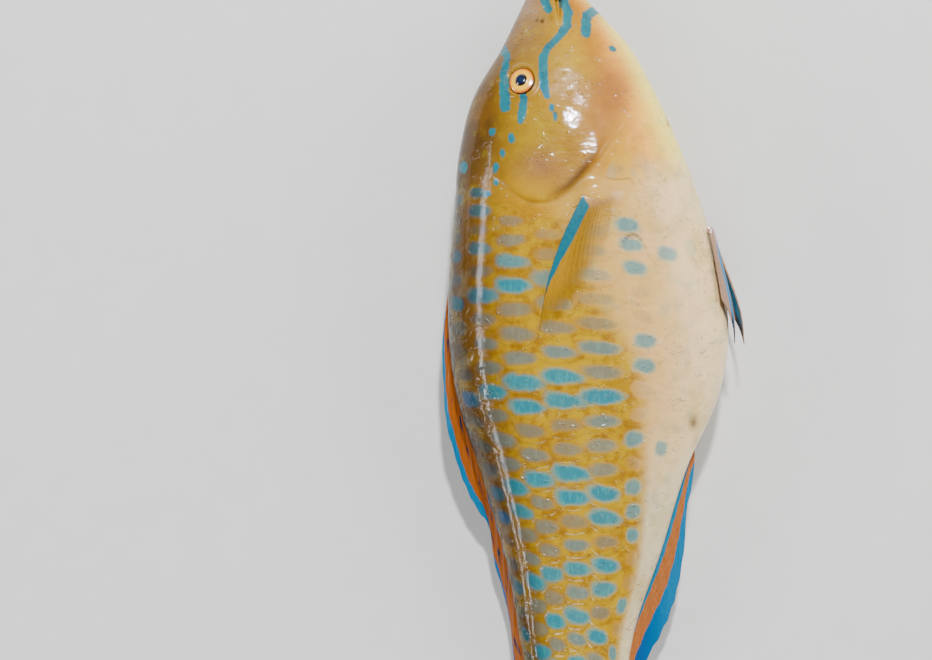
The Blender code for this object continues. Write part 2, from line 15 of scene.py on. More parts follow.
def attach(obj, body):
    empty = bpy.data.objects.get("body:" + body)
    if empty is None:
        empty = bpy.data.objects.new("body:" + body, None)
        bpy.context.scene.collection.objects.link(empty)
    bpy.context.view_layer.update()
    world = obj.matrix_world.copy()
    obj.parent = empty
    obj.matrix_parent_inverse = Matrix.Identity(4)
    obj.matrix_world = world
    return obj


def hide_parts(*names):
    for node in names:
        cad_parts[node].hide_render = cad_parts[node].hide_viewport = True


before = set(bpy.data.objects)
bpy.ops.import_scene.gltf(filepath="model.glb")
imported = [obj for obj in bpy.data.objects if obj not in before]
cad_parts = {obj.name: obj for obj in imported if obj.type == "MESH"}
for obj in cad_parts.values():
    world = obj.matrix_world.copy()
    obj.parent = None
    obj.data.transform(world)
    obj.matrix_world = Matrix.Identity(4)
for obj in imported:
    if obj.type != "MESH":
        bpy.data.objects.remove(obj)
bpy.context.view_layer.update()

MM = 0.001

# The body's sizes, as in the solids, in metres

STANDARD_LENGTH = 0.330
SNOUT_Y = 0.1995
AXIS_X = -0.0110
MIDDLE_Z = 0.027
HEAD_LENGTH = 0.100
HEAD_DROP = 0.005
TAIL_DROP = 0.026
DROOP_START = 0.45
DROOP_END = 1.21
BODY_END = 1.03
PROFILE = np.array(
    [
        (0.00, 0.0110, 0.0110, 0.0085), (0.03, 0.0145, 0.0145, 0.0104), (0.05, 0.0178, 0.0200, 0.0125),
        (0.09, 0.0246, 0.0305, 0.0168), (0.15, 0.0368, 0.0408, 0.0222), (0.22, 0.0437, 0.0502, 0.0265),
        (0.30, 0.0470, 0.0590, 0.0293), (0.38, 0.0500, 0.0650, 0.0304), (0.46, 0.0510, 0.0690, 0.0296),
        (0.55, 0.0480, 0.0640, 0.0262), (0.64, 0.0395, 0.0500, 0.0214), (0.75, 0.0300, 0.0375, 0.0158),
        (0.86, 0.0245, 0.0245, 0.0107), (0.93, 0.0215, 0.0210, 0.0080), (1.00, 0.0225, 0.0225, 0.0048),
        (1.03, 0.0215, 0.0215, 0.0024),
    ]
)
NOSE_LENGTH = 0.010
WIDEST_SHARE = 0.4
SECTION_POWER = 0.94
GILL_DOWN = np.array([-0.080, -0.050, -0.027, -0.014, 0.000, 0.011, 0.020, 0.032, 0.050, 0.090])
GILL_ALONG = np.array([0.077, 0.083, 0.090, 0.099, 0.097, 0.087, 0.075, 0.063, 0.055, 0.049])
COVER_CENTRE = (0.080, -0.0075)
COVER_RADII = (0.020, 0.0205)
EYE_PLACE = (0.0475, -0.0160)
MOUTH_CORNER = (0.0190, 0.001)
MOUTH_MIDDLE = 0.0009
MOUTH_OPEN = 0.0029
BEAK_HALF_WIDTH = 0.0084
BEAK_REACH = 0.0115
BEAK_TURN = 78.0
UPPER_BEAK_DOWN = (-0.0062, 0.0007)
LOWER_BEAK_DOWN = (0.0080, 0.0011)
NOSTRILS = ((0.0205, -0.0066, 0.0009), (0.0200, -0.0088, 0.0007))

DORSAL_BASE = (0.31, 0.87)
DORSAL_LENGTHS = ((0.0, 0.2, 0.6, 0.85, 1.0), (0.021, 0.029, 0.033, 0.034, 0.026))
DORSAL_FOLD = ((0.0, 0.3, 0.45, 0.6, 0.8, 1.0), (9.0, 9.0, 14.0, 22.0, 20.0, 10.0))
DORSAL_DROOP = ((0.0, 0.3, 0.5, 1.0), (60.0, 60.0, 48.0, 40.0))
ANAL_BASE = (0.605, 0.87)
ANAL_LENGTHS = ((0.0, 0.2, 0.6, 0.85, 1.0), (0.018, 0.028, 0.031, 0.031, 0.025))
ANAL_FOLD = ((0.0, 0.15, 0.6, 0.85, 1.0), (27.0, 29.0, 24.0, 17.0, 10.0))
ANAL_DROOP = ((0.0, 1.0), (12.0, 12.0))
ROOT_SUNK = 0.0035
TAIL_ROOT = 0.985 * STANDARD_LENGTH
TAIL_HALF_ROOT = 0.0195
TAIL_FAN = 15.5
TAIL_LENGTHS = (0.061, 0.077)
PECTORAL_BASE = ((0.0955, 0.0095), (0.1000, 0.0195))
PECTORAL_ANGLES = (-20.0, -6.0)
PECTORAL_LENGTHS = (0.062, 0.016)
PECTORAL_BOW = 0.0035
PECTORAL_REACHES = (0.0, 0.05, 0.20, 0.40, 0.60, 0.80, 1.0)
PECTORAL_LIFTS = (-0.0025, 0.0012, 0.0015, 0.0016, 0.0017, 0.0022, 0.0030)
BUMP_CENTRE = (0.0975, 0.0148)
BUMP_RADII = (0.0046, 0.0076)
CHEEK_SWELL = (0.0650, 0.0048)
SOCKET_RADII = (0.0061, 0.0055)
VENT = (0.1935, 0.0515)
VENT_RADII = (0.0030, 0.0022)
CREASES = ((0.1150, 0.0280, 0.0060, 0.70), (0.1175, 0.0410, 0.0070, 0.35))
CREASE_BEND = 200.0
PELVIC_ALONG = (0.108, 0.112)
PELVIC_LENGTHS = (0.052, 0.030)
PELVIC_ROOT_ANGLES = (7.0, 16.0)
PELVIC_TIP_ANGLES = (4.0, 24.0)
PELVIC_REACHES = (0.0, 0.07, 0.30, 0.53, 0.77, 1.0)
PELVIC_LIFTS = {
    1: (-0.0030, 0.0012, 0.0015, 0.0016, 0.0018, 0.0022),
    -1: (-0.0030, 0.0014, 0.0030, 0.0045, 0.0060, 0.0070),
}

# The skin lies this far inside the solids, for the scales to lie on

COAT_DEPTH = 0.0004
SCALED_DEPTH = 0.0009

# Colours, as the photo shows them, on the usual scale of 0 to 255

MUSTARD = (205, 176, 0)
RICH_MUSTARD = (184, 139, 0)
TAN = (176, 142, 98)
TURQUOISE = (8, 164, 170)
SKY = (120, 190, 184)
TEAL = (14, 110, 118)
DEEP_BLUE = (22, 98, 132)
GREY = (147, 139, 114)
PALE_GREY = (182, 164, 116)
FIN_BLUE = (14, 160, 184)
DEEP_FIN_BLUE = (4, 118, 170)
FIN_ORANGE = (198, 118, 40)

# The film's response and the studio's light, undone: from a shown colour to the paint under it
FILM_OUT = np.array([(0.6130, 0.4171, 0.2193), (0.3113, 0.7511, 0.2357), (0.1711, 0.2990, 0.8014)])
FILM_IN = np.array([(0.4119, -0.2014, -0.0472), (-0.1532, 0.3609, -0.0856), (-0.0318, -0.0813, 0.2581)])
FILM_FOOT = 0.4483
FILM_KNEE = 0.7641
FILM_SHOULDER = 1.7161
FILM_BLACK = 0.2001


def linear(colour):
    """The paint that shows as this colour, from 0 to 255, in the studio's light."""
    shown = (np.asarray(colour, float) / 255) ** 2.2
    film = np.clip(shown @ FILM_OUT.T, 1e-5, 0.999)
    light = film**FILM_FOOT / (1 - FILM_KNEE * film) ** FILM_SHOULDER - FILM_BLACK
    return np.clip(light @ FILM_IN.T, 0.0012, 0.90)


# The body's surface


def smooth_curve(knots, values, at):
    knots = np.asarray(knots, float)
    values = np.asarray(values, float)
    slopes = np.gradient(values, knots)
    left = np.clip(np.searchsorted(knots, at) - 1, 0, len(knots) - 2)
    width = knots[left + 1] - knots[left]
    t = np.clip((at - knots[left]) / width, 0.0, 1.0)
    start = values[left] * (1 + 2 * t) * (1 - t) ** 2 + slopes[left] * width * t * (1 - t) ** 2
    end = values[left + 1] * t**2 * (3 - 2 * t) - slopes[left + 1] * width * t**2 * (1 - t)
    return start + end


def mix(first, last, share):
    return first + (last - first) * share


def step_up(low, high, value):
    """0 below low, 1 above high, with a smooth rise between."""
    share = np.clip((value - low) / (high - low), 0.0, 1.0)
    return share * share * (3 - 2 * share)


def between(start, full, fall, end, value):
    """1 from full to fall and 0 outside start and end, with smooth slopes."""
    return step_up(start, full, value) * (1 - step_up(fall, end, value))


def hump(distance, width):
    """1 at no distance, falling away over this width."""
    return np.exp(-((distance / width) ** 2))


def spread(along, down, centre, radii):
    """Distance from a centre in the side view, as a share of its radii."""
    return np.hypot((along - centre[0]) / radii[0], (down - centre[1]) / radii[1])


def turned(angle):
    """The angle from the back, from 0 to 180 on either side."""
    return np.abs((angle + 180) % 360 - 180)


def lattice(rows, columns):
    """Two grids, of the values down the rows and of those across the columns."""
    return np.meshgrid(rows, columns, indexing="ij")


def joined(*parts):
    """One array with the parts side by side in its last axis."""
    return np.stack(np.broadcast_arrays(*parts), axis=-1)


def unit(vectors):
    return vectors / np.maximum(np.linalg.norm(vectors, axis=-1, keepdims=True), 1e-12)


def placed(along, down, out):
    nose = HEAD_DROP * np.maximum(0.0, 1 - along / HEAD_LENGTH) ** 2
    rear = (along / STANDARD_LENGTH - DROOP_START) / (DROOP_END - DROOP_START)
    middle = MIDDLE_Z - nose - TAIL_DROP * np.maximum(0.0, rear) ** 1.5
    return joined(AXIS_X + down, SNOUT_Y - along, middle + out)


def section(along):
    share = np.maximum(along, 0.0) / STANDARD_LENGTH
    nose = np.clip(along / NOSE_LENGTH, 0.0, 1.0)
    blunt = np.sqrt(1 - (1 - nose) ** 2)
    back, belly, half = (smooth_curve(PROFILE[:, 0], PROFILE[:, k], share) * blunt for k in (1, 2, 3))
    return back, belly, half, WIDEST_SHARE * (belly - back) / 2


def filled_out(value):
    """A sine or cosine, a little fuller, as the body's sections are."""
    return np.sign(value) * np.abs(value) ** SECTION_POWER


def ring_down(along, angle):
    """How far down the side view a point at that angle lies."""
    back, belly, _, widest = section(along)
    upright = filled_out(np.cos(np.radians(angle)))
    return widest - np.where(upright > 0, widest + back, belly - widest) * upright


def ring_point(along, angle):
    out = section(along)[2] * filled_out(np.sin(np.radians(angle)))
    return placed(along, ring_down(along, angle), out)


def flank_angle(along, down):
    """The angle round the body of a place in the side view, from 0 to 180."""
    back, belly, _, widest = section(along)
    reach = np.where(down < widest, widest + back, belly - widest)
    share = np.clip(np.abs(down - widest) / np.maximum(reach, 1e-6), 0.0, 1.0)
    turn = np.degrees(np.arccos(share ** (1 / SECTION_POWER)))
    return np.where(down < widest, turn, 180 - turn)


def skin_normal(along, angle):
    ahead, beside = 0.0005, 0.3
    lengthwise = ring_point(along + ahead, angle) - ring_point(along - ahead, angle)
    around = ring_point(along, angle + beside) - ring_point(along, angle - beside)
    return unit(np.cross(lengthwise, around))


def skin_place(along, angle, lift):
    """A point at a height over the skin."""
    return ring_point(along, angle) + skin_normal(along, angle) * np.asarray(lift)[..., None]


# Markings of the face, in millimetres along and down, with half their width

BANDS = (
    ((5, -5.5, 1.9), (11.8, -4.8, 1.9), (15.6, -3.6, 1.7)),
    ((2, 3.0, 1.6), (12.3, 3.3, 2.0), (16.9, 4.8, 2.1), (23.3, 4.1, 2.0), (28.3, 0.6, 1.7)),
    ((28.3, 0.6, 1.7), (33.6, -4.7, 1.6), (37.7, -6.5, 1.9), (45.0, -6.7, 2.0), (50.8, -6.5, 1.9)),
    ((50.8, -6.5, 1.9), (55.3, -5.4, 1.3)),
    ((12, 19.5, 2.0), (15.2, 16.5, 2.1), (18.4, 12.9, 2.1), (27.0, 12.0, 2.2)),
    ((26.5, -28.0, 1.6), (29.6, -24.3, 1.8), (35.7, -21.9, 1.5), (43.1, -23.6, 1.6)),
    ((43.1, -23.6, 1.6), (51.1, -23.3, 2.0), (58.8, -23.1, 2.2)),
    ((55.0, -15.3, 1.6), (63.0, -16.1, 1.8), (65.5, -17.0, 1.0)),
)
# Round ones, with half their length and width
BLOTS = (
    (60.5, -3.6, 1.6, 1.2), (64.5, -2.4, 1.9, 0.8), (72.6, -21.0, 2.1, 1.4), (78.7, -24.9, 1.8, 1.2),
    (84.8, -27.8, 2.0, 1.2), (90.8, -28.0, 1.5, 1.0), (69.1, -28.9, 1.6, 1.6), (82.4, -42.0, 2.6, 2.0),
    (95.3, -32.0, 1.6, 1.6), (33.8, 23.3, 1.5, 1.7),
)


def band_distance(along, down):
    """Distance to the nearest turquoise marking of the face, in millimetres, negative inside."""
    nearest = np.full(np.shape(along), 9.0)
    for chain in BANDS:
        for (a0, d0, r0), (a1, d1, r1) in zip(chain, chain[1:]):
            run = (a1 - a0) ** 2 + (d1 - d0) ** 2
            t = np.clip(((along - a0) * (a1 - a0) + (down - d0) * (d1 - d0)) / run, 0, 1)
            gap = np.hypot(along - mix(a0, a1, t), down - mix(d0, d1, t)) - mix(r0, r1, t)
            nearest = np.minimum(nearest, gap)
    for *centre, length, width in BLOTS:
        gap = spread(along, down, centre, (length, width)) - 1
        nearest = np.minimum(nearest, gap * min(length, width))
    return nearest


# Rows of scales, from the back to the belly: their angles at some places along the body

ROW_STATIONS = (0.095, 0.150, 0.200, 0.260, 0.325)
ROW_ANGLES = np.array(
    [
        (0, 18, 40, 61, 79, 95, 111, 127, 143, 159, 176),
        (0, 25, 46, 64, 82, 97, 114, 130, 146, 162, 178),
        (0, 31, 49, 67, 85, 100, 115, 131, 147, 163, 179),
        (0, 27, 53, 70, 90, 110, 131, 147, 160, 171, 180),
        (0, 28, 52, 72, 90, 108, 128, 148, 162, 172, 180),
    ],
    float,
)


def row_angle(row, along):
    return np.interp(along, ROW_STATIONS, ROW_ANGLES[:, row])


def row_half(row, along):
    """Half the step between this row and its neighbours, in degrees."""
    low, high = max(row - 1, 0), min(row + 1, ROW_ANGLES.shape[1] - 1)
    return (row_angle(high, along) - row_angle(low, along)) / (high - low) / 2


def row_place(along, turn):
    """Which row lies at this angle, with fractions between two rows."""
    place = np.zeros(np.shape(turn))
    for row in range(ROW_ANGLES.shape[1] - 1):
        low = row_angle(row, along)
        place += np.clip((turn - low) / (row_angle(row + 1, along) - low), 0, 1)
    return place


# Ground colours: on the trunk by row, on the head by angle and soft patches

UPPER_ROWS = (0, 0.7, 1.4, 2.2, 3.0, 4.0, 7.0)
UPPER_COLOURS = (
    (56, 50, 30), (78, 56, 24), (110, 72, 16), (150, 98, 8), (182, 130, 10), (200, 156, 16),
    (210, 168, 48),
)
LOWER_ROWS = (3.5, 5.0, 6.0, 7.5, 10.0)
LOWER_COLOURS = (
    (204, 170, 92), (210, 180, 132), (216, 188, 156), (218, 197, 178), (219, 204, 192),
)
REAR_BELLY = (207, 199, 190)
MUSTARD_ENDS = ((95, 108, 147, 172, 213, 300), (3.9, 4.2, 4.9, 5.7, 6.35, 6.4))
HEAD_ANGLES = (0, 20, 40, 60, 90, 112, 130, 150, 180)
HEAD_COLOURS = (
    (86, 62, 40), (100, 72, 42), (142, 102, 48), (180, 142, 58), (196, 158, 46), (204, 154, 92),
    (228, 188, 146), (234, 206, 172), (230, 210, 186),
)
# Centre along and down, radii, colour and strength, in millimetres
PATCHES = (
    (24, -14, 17, 9, TAN, 0.9), (12, -11, 8, 5, (190, 166, 148), 0.6),
    (66, -34, 18, 9, (112, 80, 46), 0.9), (38, 7, 17, 10, (204, 172, 40), 0.8),
    (32, 14, 8, 6, (206, 152, 54), 0.5), (54, 23, 14, 8, (188, 132, 84), 0.85),
    (68, 17, 11, 8, (198, 146, 96), 0.7), (84, 26, 15, 8, (216, 188, 122), 0.5),
    (70, -9, 10, 10, (190, 160, 50), 0.8), (86, -9, 7, 8, (178, 136, 108), 0.8),
    (90, -2, 7, 7, (182, 126, 66), 0.6), (96, -16, 7, 14, (204, 166, 28), 0.75),
    (79, 4, 10, 6, (178, 128, 50), 0.6), (47, -16, 9, 8, (196, 158, 70), 0.5),
    (104, 17, 9, 8, (206, 172, 44), 0.65), (99, 21, 5, 5, (204, 174, 140), 0.6),
    (15, 12, 8, 8, (208, 152, 44), 0.6),
)


def ramp(knots, colours, at):
    table = np.array([linear(colour) for colour in colours])
    return np.stack([np.interp(at, knots, table[:, k]) for k in range(3)], axis=-1)


def ground_colour(along, angle):
    """The skin's own colour without its bands and spots."""
    turn = turned(angle)
    down = ring_down(along, angle) / MM
    far = along / MM
    row = row_place(along, turn)
    pale = step_up(-0.45, 0.45, row - np.interp(far, *MUSTARD_ENDS))
    lower = ramp(LOWER_ROWS, LOWER_COLOURS, row)
    lower = mix(lower, linear(REAR_BELLY), 0.65 * step_up(195, 235, far)[..., None])
    trunk = mix(ramp(UPPER_ROWS, UPPER_COLOURS, row), lower, pale[..., None])
    head = ramp(HEAD_ANGLES, HEAD_COLOURS, turn)
    colour = mix(head, trunk, step_up(84.0, 104.0, far + 0.2 * down)[..., None])
    for *centre, length, width, paint, strength in PATCHES:
        near = strength * hump(spread(far, down, centre, (length, width)), 1.0)
        colour = mix(colour, linear(paint), near[..., None])
    return colour


# Relief of the skin, in millimetres over its plain form


def gill_distance(along, down):
    """How far behind the gill opening a place lies, in millimetres."""
    line = smooth_curve(GILL_DOWN, GILL_ALONG, down)
    slope = (smooth_curve(GILL_DOWN, GILL_ALONG, down + MM) - line) / MM
    return (along - line) / np.sqrt(1 + slope**2) / MM


def cheek_distance(along, down):
    """How far outside the rear arc of the cheek a place lies, in millimetres."""
    return (spread(along, down, COVER_CENTRE, COVER_RADII) - 1) * COVER_RADII[0] / MM


def mouth_gap(along, down):
    """Distance over and under the edge of the gape, negative inside it, and its share to the corner."""
    share = np.clip(along / MOUTH_CORNER[0], 0.0, 1.4)
    middle = mix(MOUTH_MIDDLE, MOUTH_CORNER[1], share)
    return (np.abs(down - middle) - MOUTH_OPEN * (1 - share)) / MM, share


def crease(along, down, centre, length):
    """How far behind a bent crease a place lies, in millimetres, and the crease's strength there."""
    crossing = (along - centre[0] - CREASE_BEND * (down - centre[1]) ** 2) / MM
    return crossing, hump((down - centre[1]) / length, 1.0)


def relief(along, down, angle):
    turn = np.radians(angle)
    side_on = np.abs(np.sin(turn))
    flank = step_up(0.2, 0.5, side_on)
    # Gill cover's raised rear edge and the slit behind it
    behind = gill_distance(along, down)
    rear = between(-0.038, -0.020, 0.016, 0.034, down)
    height = (0.03 + 0.30 * rear) * between(-10, -1.4, -0.8, 1.2, behind)
    height -= 0.30 * rear * hump(behind - 0.9, 1.0)
    # Cheek's rear edge over the gill cover, and its slight swell
    outside = cheek_distance(along, down)
    arc = (along < COVER_CENTRE[0] + 0.004) * step_up(0.3, 0.6, side_on)
    height += arc * (0.20 * hump(outside - 1.6, 2.4) - 0.10 * hump(outside + 0.3, 0.9))
    height += 0.8 * flank * hump(spread(along, down, CHEEK_SWELL, (MM, MM)), 14.0)
    # Eye
    spoke = spread(along, down, EYE_PLACE, SOCKET_RADII)
    height += flank * (0.85 * hump(spoke - 1.12, 0.13) - 3.2 * (1 - step_up(0.90, 1.04, spoke)))
    height -= 0.3 * flank * hump(spoke - 1.5, 0.22)
    # Mouth and lips
    gap, share = mouth_gap(along, down)
    lips = along < MOUTH_CORNER[0] + 0.004
    swell = mix(1.5, 0.5, np.clip(share, 0, 1)) * step_up(0.0, 0.3, 1.3 - share)
    height -= 5.5 * lips * np.sqrt(np.clip(1.15 - share, 0.0, 1.0)) * (1 - step_up(-0.5, 0.5, gap))
    height += lips * swell * hump(gap - 1.6, 1.5)
    height -= 0.35 * lips * hump(gap - 4.3, 0.8) * step_up(0.0, 0.4, 1.3 - share)
    # Nostrils
    for *centre, radius in NOSTRILS:
        distance = spread(along, down, centre, (radius, radius))
        height += flank * (0.35 * hump(distance - 1.45, 0.4) - 1.2 * hump(distance, 0.9))
    # Creases of the lower flank behind the pectoral fin, and the vent
    for *centre, length, depth in CREASES:
        crossing, strength = crease(along, down, centre, length)
        height += depth * strength * (0.8 * hump(crossing - 1.4, 1.3) - hump(crossing, 0.7))
    vent = spread(along, down, VENT, VENT_RADII)
    height += flank * (0.5 * hump(vent - 1.4, 0.5) - 1.3 * hump(vent, 0.7))
    # Fleshy root of the pectoral fin
    root = spread(along, down, BUMP_CENTRE, BUMP_RADII)
    right = np.where(angle < 180, 1.0, 0.35)
    height += 2.6 * right * flank * (1 - step_up(0.50, 1.50, root))
    # Slow unevenness of soft flesh
    wave = np.sin(along * 210 + 3 * np.cos(turn)) * np.sin(down * 260 + 1.0)
    return height + 0.12 * wave * side_on


def crease_shade(along, down, angle):
    """Painted shade in the skin's grooves, slits and pits, from 0 to 1."""
    behind = gill_distance(along, down)
    shades = [
        0.85 * hump(behind + 1.5, 2.2) * between(-0.012, 0.004, 0.008, 0.022, down),
        0.35 * hump(behind - 0.7, 0.8) * between(-0.030, -0.012, 0.012, 0.026, down),
        0.7 * hump(spread(along, down, VENT, VENT_RADII), 0.9),
    ]
    for *centre, radius in NOSTRILS:
        shades.append(hump(spread(along, down, centre, (radius, radius)), 0.9))
    crossing, strength = crease(along, down, CREASES[0], CREASES[0][2])
    shades.append(0.8 * strength * hump(crossing, 0.6))
    return np.max(shades, axis=0) * step_up(0.2, 0.5, np.abs(np.sin(np.radians(angle))))


# Meshes


def add_object(name, data):
    obj = bpy.data.objects.new(name, data)
    bpy.context.scene.collection.objects.link(obj)
    return obj


def new_mesh(name, points, faces):
    mesh = bpy.data.meshes.new(name)
    mesh.from_pydata(np.asarray(points).tolist(), [], faces if isinstance(faces, list) else faces.tolist())
    mesh.shade_smooth()
    return add_object(name, mesh)


def above_floor(points, clearance=0.0):
    points[..., 2] = np.maximum(points[..., 2], clearance)
    return points


def vector_attribute(obj, name, values):
    layer = obj.data.attributes.new(name, "FLOAT_VECTOR", "POINT")
    layer.data.foreach_set("vector", np.asarray(values, np.float32).ravel())


def colour_attribute(obj, name, values):
    layer = obj.data.attributes.new(name, "FLOAT_COLOR", "POINT")
    flat = np.concatenate([values, np.ones((len(values), 1))], axis=1)
    layer.data.foreach_set("color", flat.astype(np.float32).ravel())


def bake_map(obj, places):
    """The map that a bake of this piece uses, from a place on the unwrap for each point."""
    layer = obj.data.uv_layers.new(name="OFBake")
    corners = np.empty(len(obj.data.loops), np.int32)
    obj.data.loops.foreach_get("vertex_index", corners)
    layer.data.foreach_set("uv", np.asarray(places, np.float32)[corners].ravel())


def grid_faces(rows, columns, closed=False):
    """Quads between neighbouring points of a grid of points, row by row."""
    across = columns if closed else columns - 1
    i, j = lattice(np.arange(rows - 1), np.arange(across))
    after = (j + 1) % columns
    quads = (i * columns + j, i * columns + after, (i + 1) * columns + after, (i + 1) * columns + j)
    return joined(*quads).reshape(-1, 4)


def finish_piece(obj, material, slot, *nodes):
    obj.data.materials.append(material)
    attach(obj, "root")
    if nodes:
        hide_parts(*nodes)
    return obj


# Materials


class Nodes:
    """Short names for building a material's node tree."""

    def __init__(self, name):
        self.material = bpy.data.materials.new(name)
        self.material.use_nodes = True
        self.tree = self.material.node_tree
        self.shader = self.tree.nodes["Principled BSDF"]

    def link(self, source, target):
        """Sets or links an input. A colour of three parts is one as shown, and of four the paint itself."""
        if isinstance(source, tuple):
            target.default_value = (*linear(source), 1.0) if len(source) == 3 else source
        elif isinstance(source, (int, float)):
            target.default_value = source
        else:
            self.tree.links.new(source, target)

    def link_all(self, node, inputs):
        for key, source in inputs.items():
            self.link(source, node.inputs[key])
        return node

    def add(self, kind, inputs, **settings):
        node = self.tree.nodes.new(kind)
        for key, value in settings.items():
            setattr(node, key, value)
        return self.link_all(node, inputs)

    def math(self, operation, first, second=0.0):
        return self.add("ShaderNodeMath", {0: first, 1: second}, operation=operation).outputs[0]

    def times(self, first, second):
        return self.math("MULTIPLY", first, second)

    def plus(self, first, second):
        return self.math("ADD", first, second)

    def less(self, first, second):
        return self.math("SUBTRACT", first, second)

    def rise(self, value, low, high):
        """0 at low and 1 at high, smoothly; low may be the larger."""
        ends = {"Value": value, "From Min": min(low, high), "From Max": max(low, high)}
        ends |= {"To Min": float(low > high), "To Max": float(low < high)}
        return self.add("ShaderNodeMapRange", ends, interpolation_type="SMOOTHSTEP").outputs["Result"]

    def blend(self, share, first, second, kind="MIX"):
        inputs = {0: share, 6: first, 7: second}
        return self.add("ShaderNodeMix", inputs, data_type="RGBA", blend_type=kind).outputs[2]

    def attribute(self, name):
        """The node of a mesh attribute, and the attribute's three parts."""
        node = self.add("ShaderNodeAttribute", {}, attribute_name=name)
        return node, self.add("ShaderNodeSeparateXYZ", {0: node.outputs["Vector"]}).outputs

    def noise(self, scale, detail=3, roughness=0.5, place=None, stretch=(1.0, 1.0, 1.0)):
        if place is None:
            place = self.add("ShaderNodeTexCoord", {}).outputs["Object"]
        mapping = self.add("ShaderNodeMapping", {"Vector": place})
        mapping.inputs["Scale"].default_value = stretch
        inputs = {"Vector": mapping.outputs[0], "Scale": scale, "Detail": detail, "Roughness": roughness}
        return self.add("ShaderNodeTexNoise", inputs).outputs["Fac"]

    def wobble(self, size, *noise, **settings):
        """Noise about 0."""
        return self.times(self.less(self.noise(*noise, **settings), 0.5), size)

    def bump(self, height, distance, strength, normal=None):
        inputs = {"Height": height, "Distance": distance, "Strength": strength}
        if normal is not None:
            inputs["Normal"] = normal
        return self.add("ShaderNodeBump", inputs).outputs["Normal"]

    def surface(self, colour, roughness, normal=None, coat=0.0, coat_roughness=0.05, specular=0.5):
        inputs = {"Base Color": colour, "Roughness": roughness, "Specular IOR Level": specular}
        inputs |= {"Coat Weight": coat, "Coat Roughness": coat_roughness}
        if normal is not None:
            inputs |= {"Normal": normal, "Coat Normal": normal}
        self.link_all(self.shader, inputs)
        return self.material


def flesh_material(name, scaled):
    """Wet skin with the face's bands and painted shade in its grooves, and on scales the spots between
    mustard bricks.
    """
    n = Nodes(name)
    ground = n.attribute("ground")[0].outputs["Color"]
    marks_and_shade = n.attribute("marks_and_shade")[1]
    mottle = n.noise(180, 5, 0.62)
    broad = n.noise(38, 3, 0.55)
    shaded = n.blend(0.55, ground, (168, 122, 70), "MULTIPLY")
    colour = n.blend(n.times(n.rise(mottle, 0.50, 0.78), 0.42), ground, shaded)
    gold = n.blend(0.5, colour, (214, 168, 40))
    colour = n.blend(n.times(n.rise(broad, 0.50, 0.70), 0.28), colour, gold)
    light = n.blend(0.35, colour, (240, 214, 160))
    colour = n.blend(n.times(n.rise(mottle, 0.48, 0.25), 0.25), colour, light)
    if scaled:
        colour = spotted(n, colour, marks_and_shade[2], mottle, broad)
    band = n.rise(n.plus(marks_and_shade[0], n.wobble(2.2, 420, 3, 0.6)), 0.40, -0.35)
    blue = n.blend(n.rise(mottle, 0.4, 0.7), (0, 158, 162), (0, 140, 152))
    colour = n.blend(n.times(band, 0.96), colour, blue)
    # Painted shade: the grooves, slits and pits darkened towards brown
    colour = n.blend(marks_and_shade[1], colour, (98, 56, 22))
    # Slime breaks the glints into streaks and specks, less on the back
    normal = n.bump(n.noise(1400, 3, 0.6), 0.00010, 0.30)
    normal = n.bump(n.times(mottle, n.less(1.0, n.times(marks_and_shade[2], 0.65))), 0.0007, 0.29, normal)
    normal = n.bump(n.noise(420, 2, 0.5, stretch=(0.4, 1.0, 1.0)), 0.0004, 0.33, normal)
    drops = n.times(n.rise(n.noise(520, 1, 0.4), 0.58, 0.74), n.rise(n.noise(70, 2), 0.46, 0.56))
    normal = n.bump(drops, 0.0005, 0.8, normal)
    rough = n.plus(0.34, n.times(mottle, 0.16))
    return n.surface(colour, rough, normal, coat=0.6, coat_roughness=0.045, specular=0.04)


def spotted(n, colour, dark, mottle, broad):
    """The colour of scales: each has a spot, grey or blue, and mustard round it."""
    cell = n.attribute("cell")[1]
    field, strength, blueness = n.attribute("spot")[1][:3]
    reach = n.plus(field, n.wobble(0.95, 240, 5, 0.75))
    plain = n.less(1.0, cell[0])
    for size, low, share, paint in ((85, 0.50, 0.30, (200, 178, 112)), (120, 0.54, 0.28, (160, 178, 168))):
        stain = n.times(n.rise(n.noise(size, 3), low, low + 0.16), n.times(plain, share))
        colour = n.blend(stain, colour, paint)
    # Mustard between the spots
    rich = n.blend(n.rise(mottle, 0.42, 0.66), MUSTARD, RICH_MUSTARD)
    rich = n.blend(n.times(n.rise(n.noise(75, 3), 0.52, 0.68), 0.5), rich, (176, 124, 0))
    rich = n.blend(dark, rich, (132, 92, 8))
    brick = n.times(cell[0], n.rise(reach, 0.95, 1.30))
    colour = n.blend(n.times(brick, 0.85), colour, rich)
    # A pale soft rim
    pale = n.blend(blueness, PALE_GREY, SKY)
    pale = n.blend(dark, pale, n.blend(blueness, (124, 100, 62), (34, 116, 140)))
    rim = n.times(n.rise(reach, 1.32, 0.86), strength)
    colour = n.blend(n.times(rim, 0.55), colour, pale)
    # The core, with paler streaks
    deep = n.blend(n.rise(broad, 0.45, 0.6), TEAL, DEEP_BLUE)
    dim = n.blend(blueness, (86, 80, 62), deep)
    tone = n.blend(dark, n.blend(blueness, GREY, TURQUOISE), dim)
    light = n.blend(dark, n.blend(blueness, (160, 164, 146), SKY), dim)
    streak = n.rise(n.noise(620, 3, 0.6, stretch=(1.0, 0.22, 1.0)), 0.44, 0.70)
    tone = n.blend(n.times(streak, 0.45), tone, light)
    colour = n.blend(n.times(n.rise(reach, 1.08, 0.60), strength), colour, tone)
    # A faint line along each scale's edge
    return n.blend(n.times(cell[1], 0.10), colour, (120, 80, 30))


# Skin

SIDES = (("right", 1), ("left", -1))
SKIN_AROUND = 340


def skin_rings():
    nose = [0.0002, 0.0006, 0.0011, 0.0017, 0.0024, 0.0032]
    head = np.arange(0.0040, 0.1080, 0.00078)
    rear = np.linspace(0.1088, BODY_END * STANDARD_LENGTH - 0.0006, 142)
    return np.concatenate([nose, head, rear])


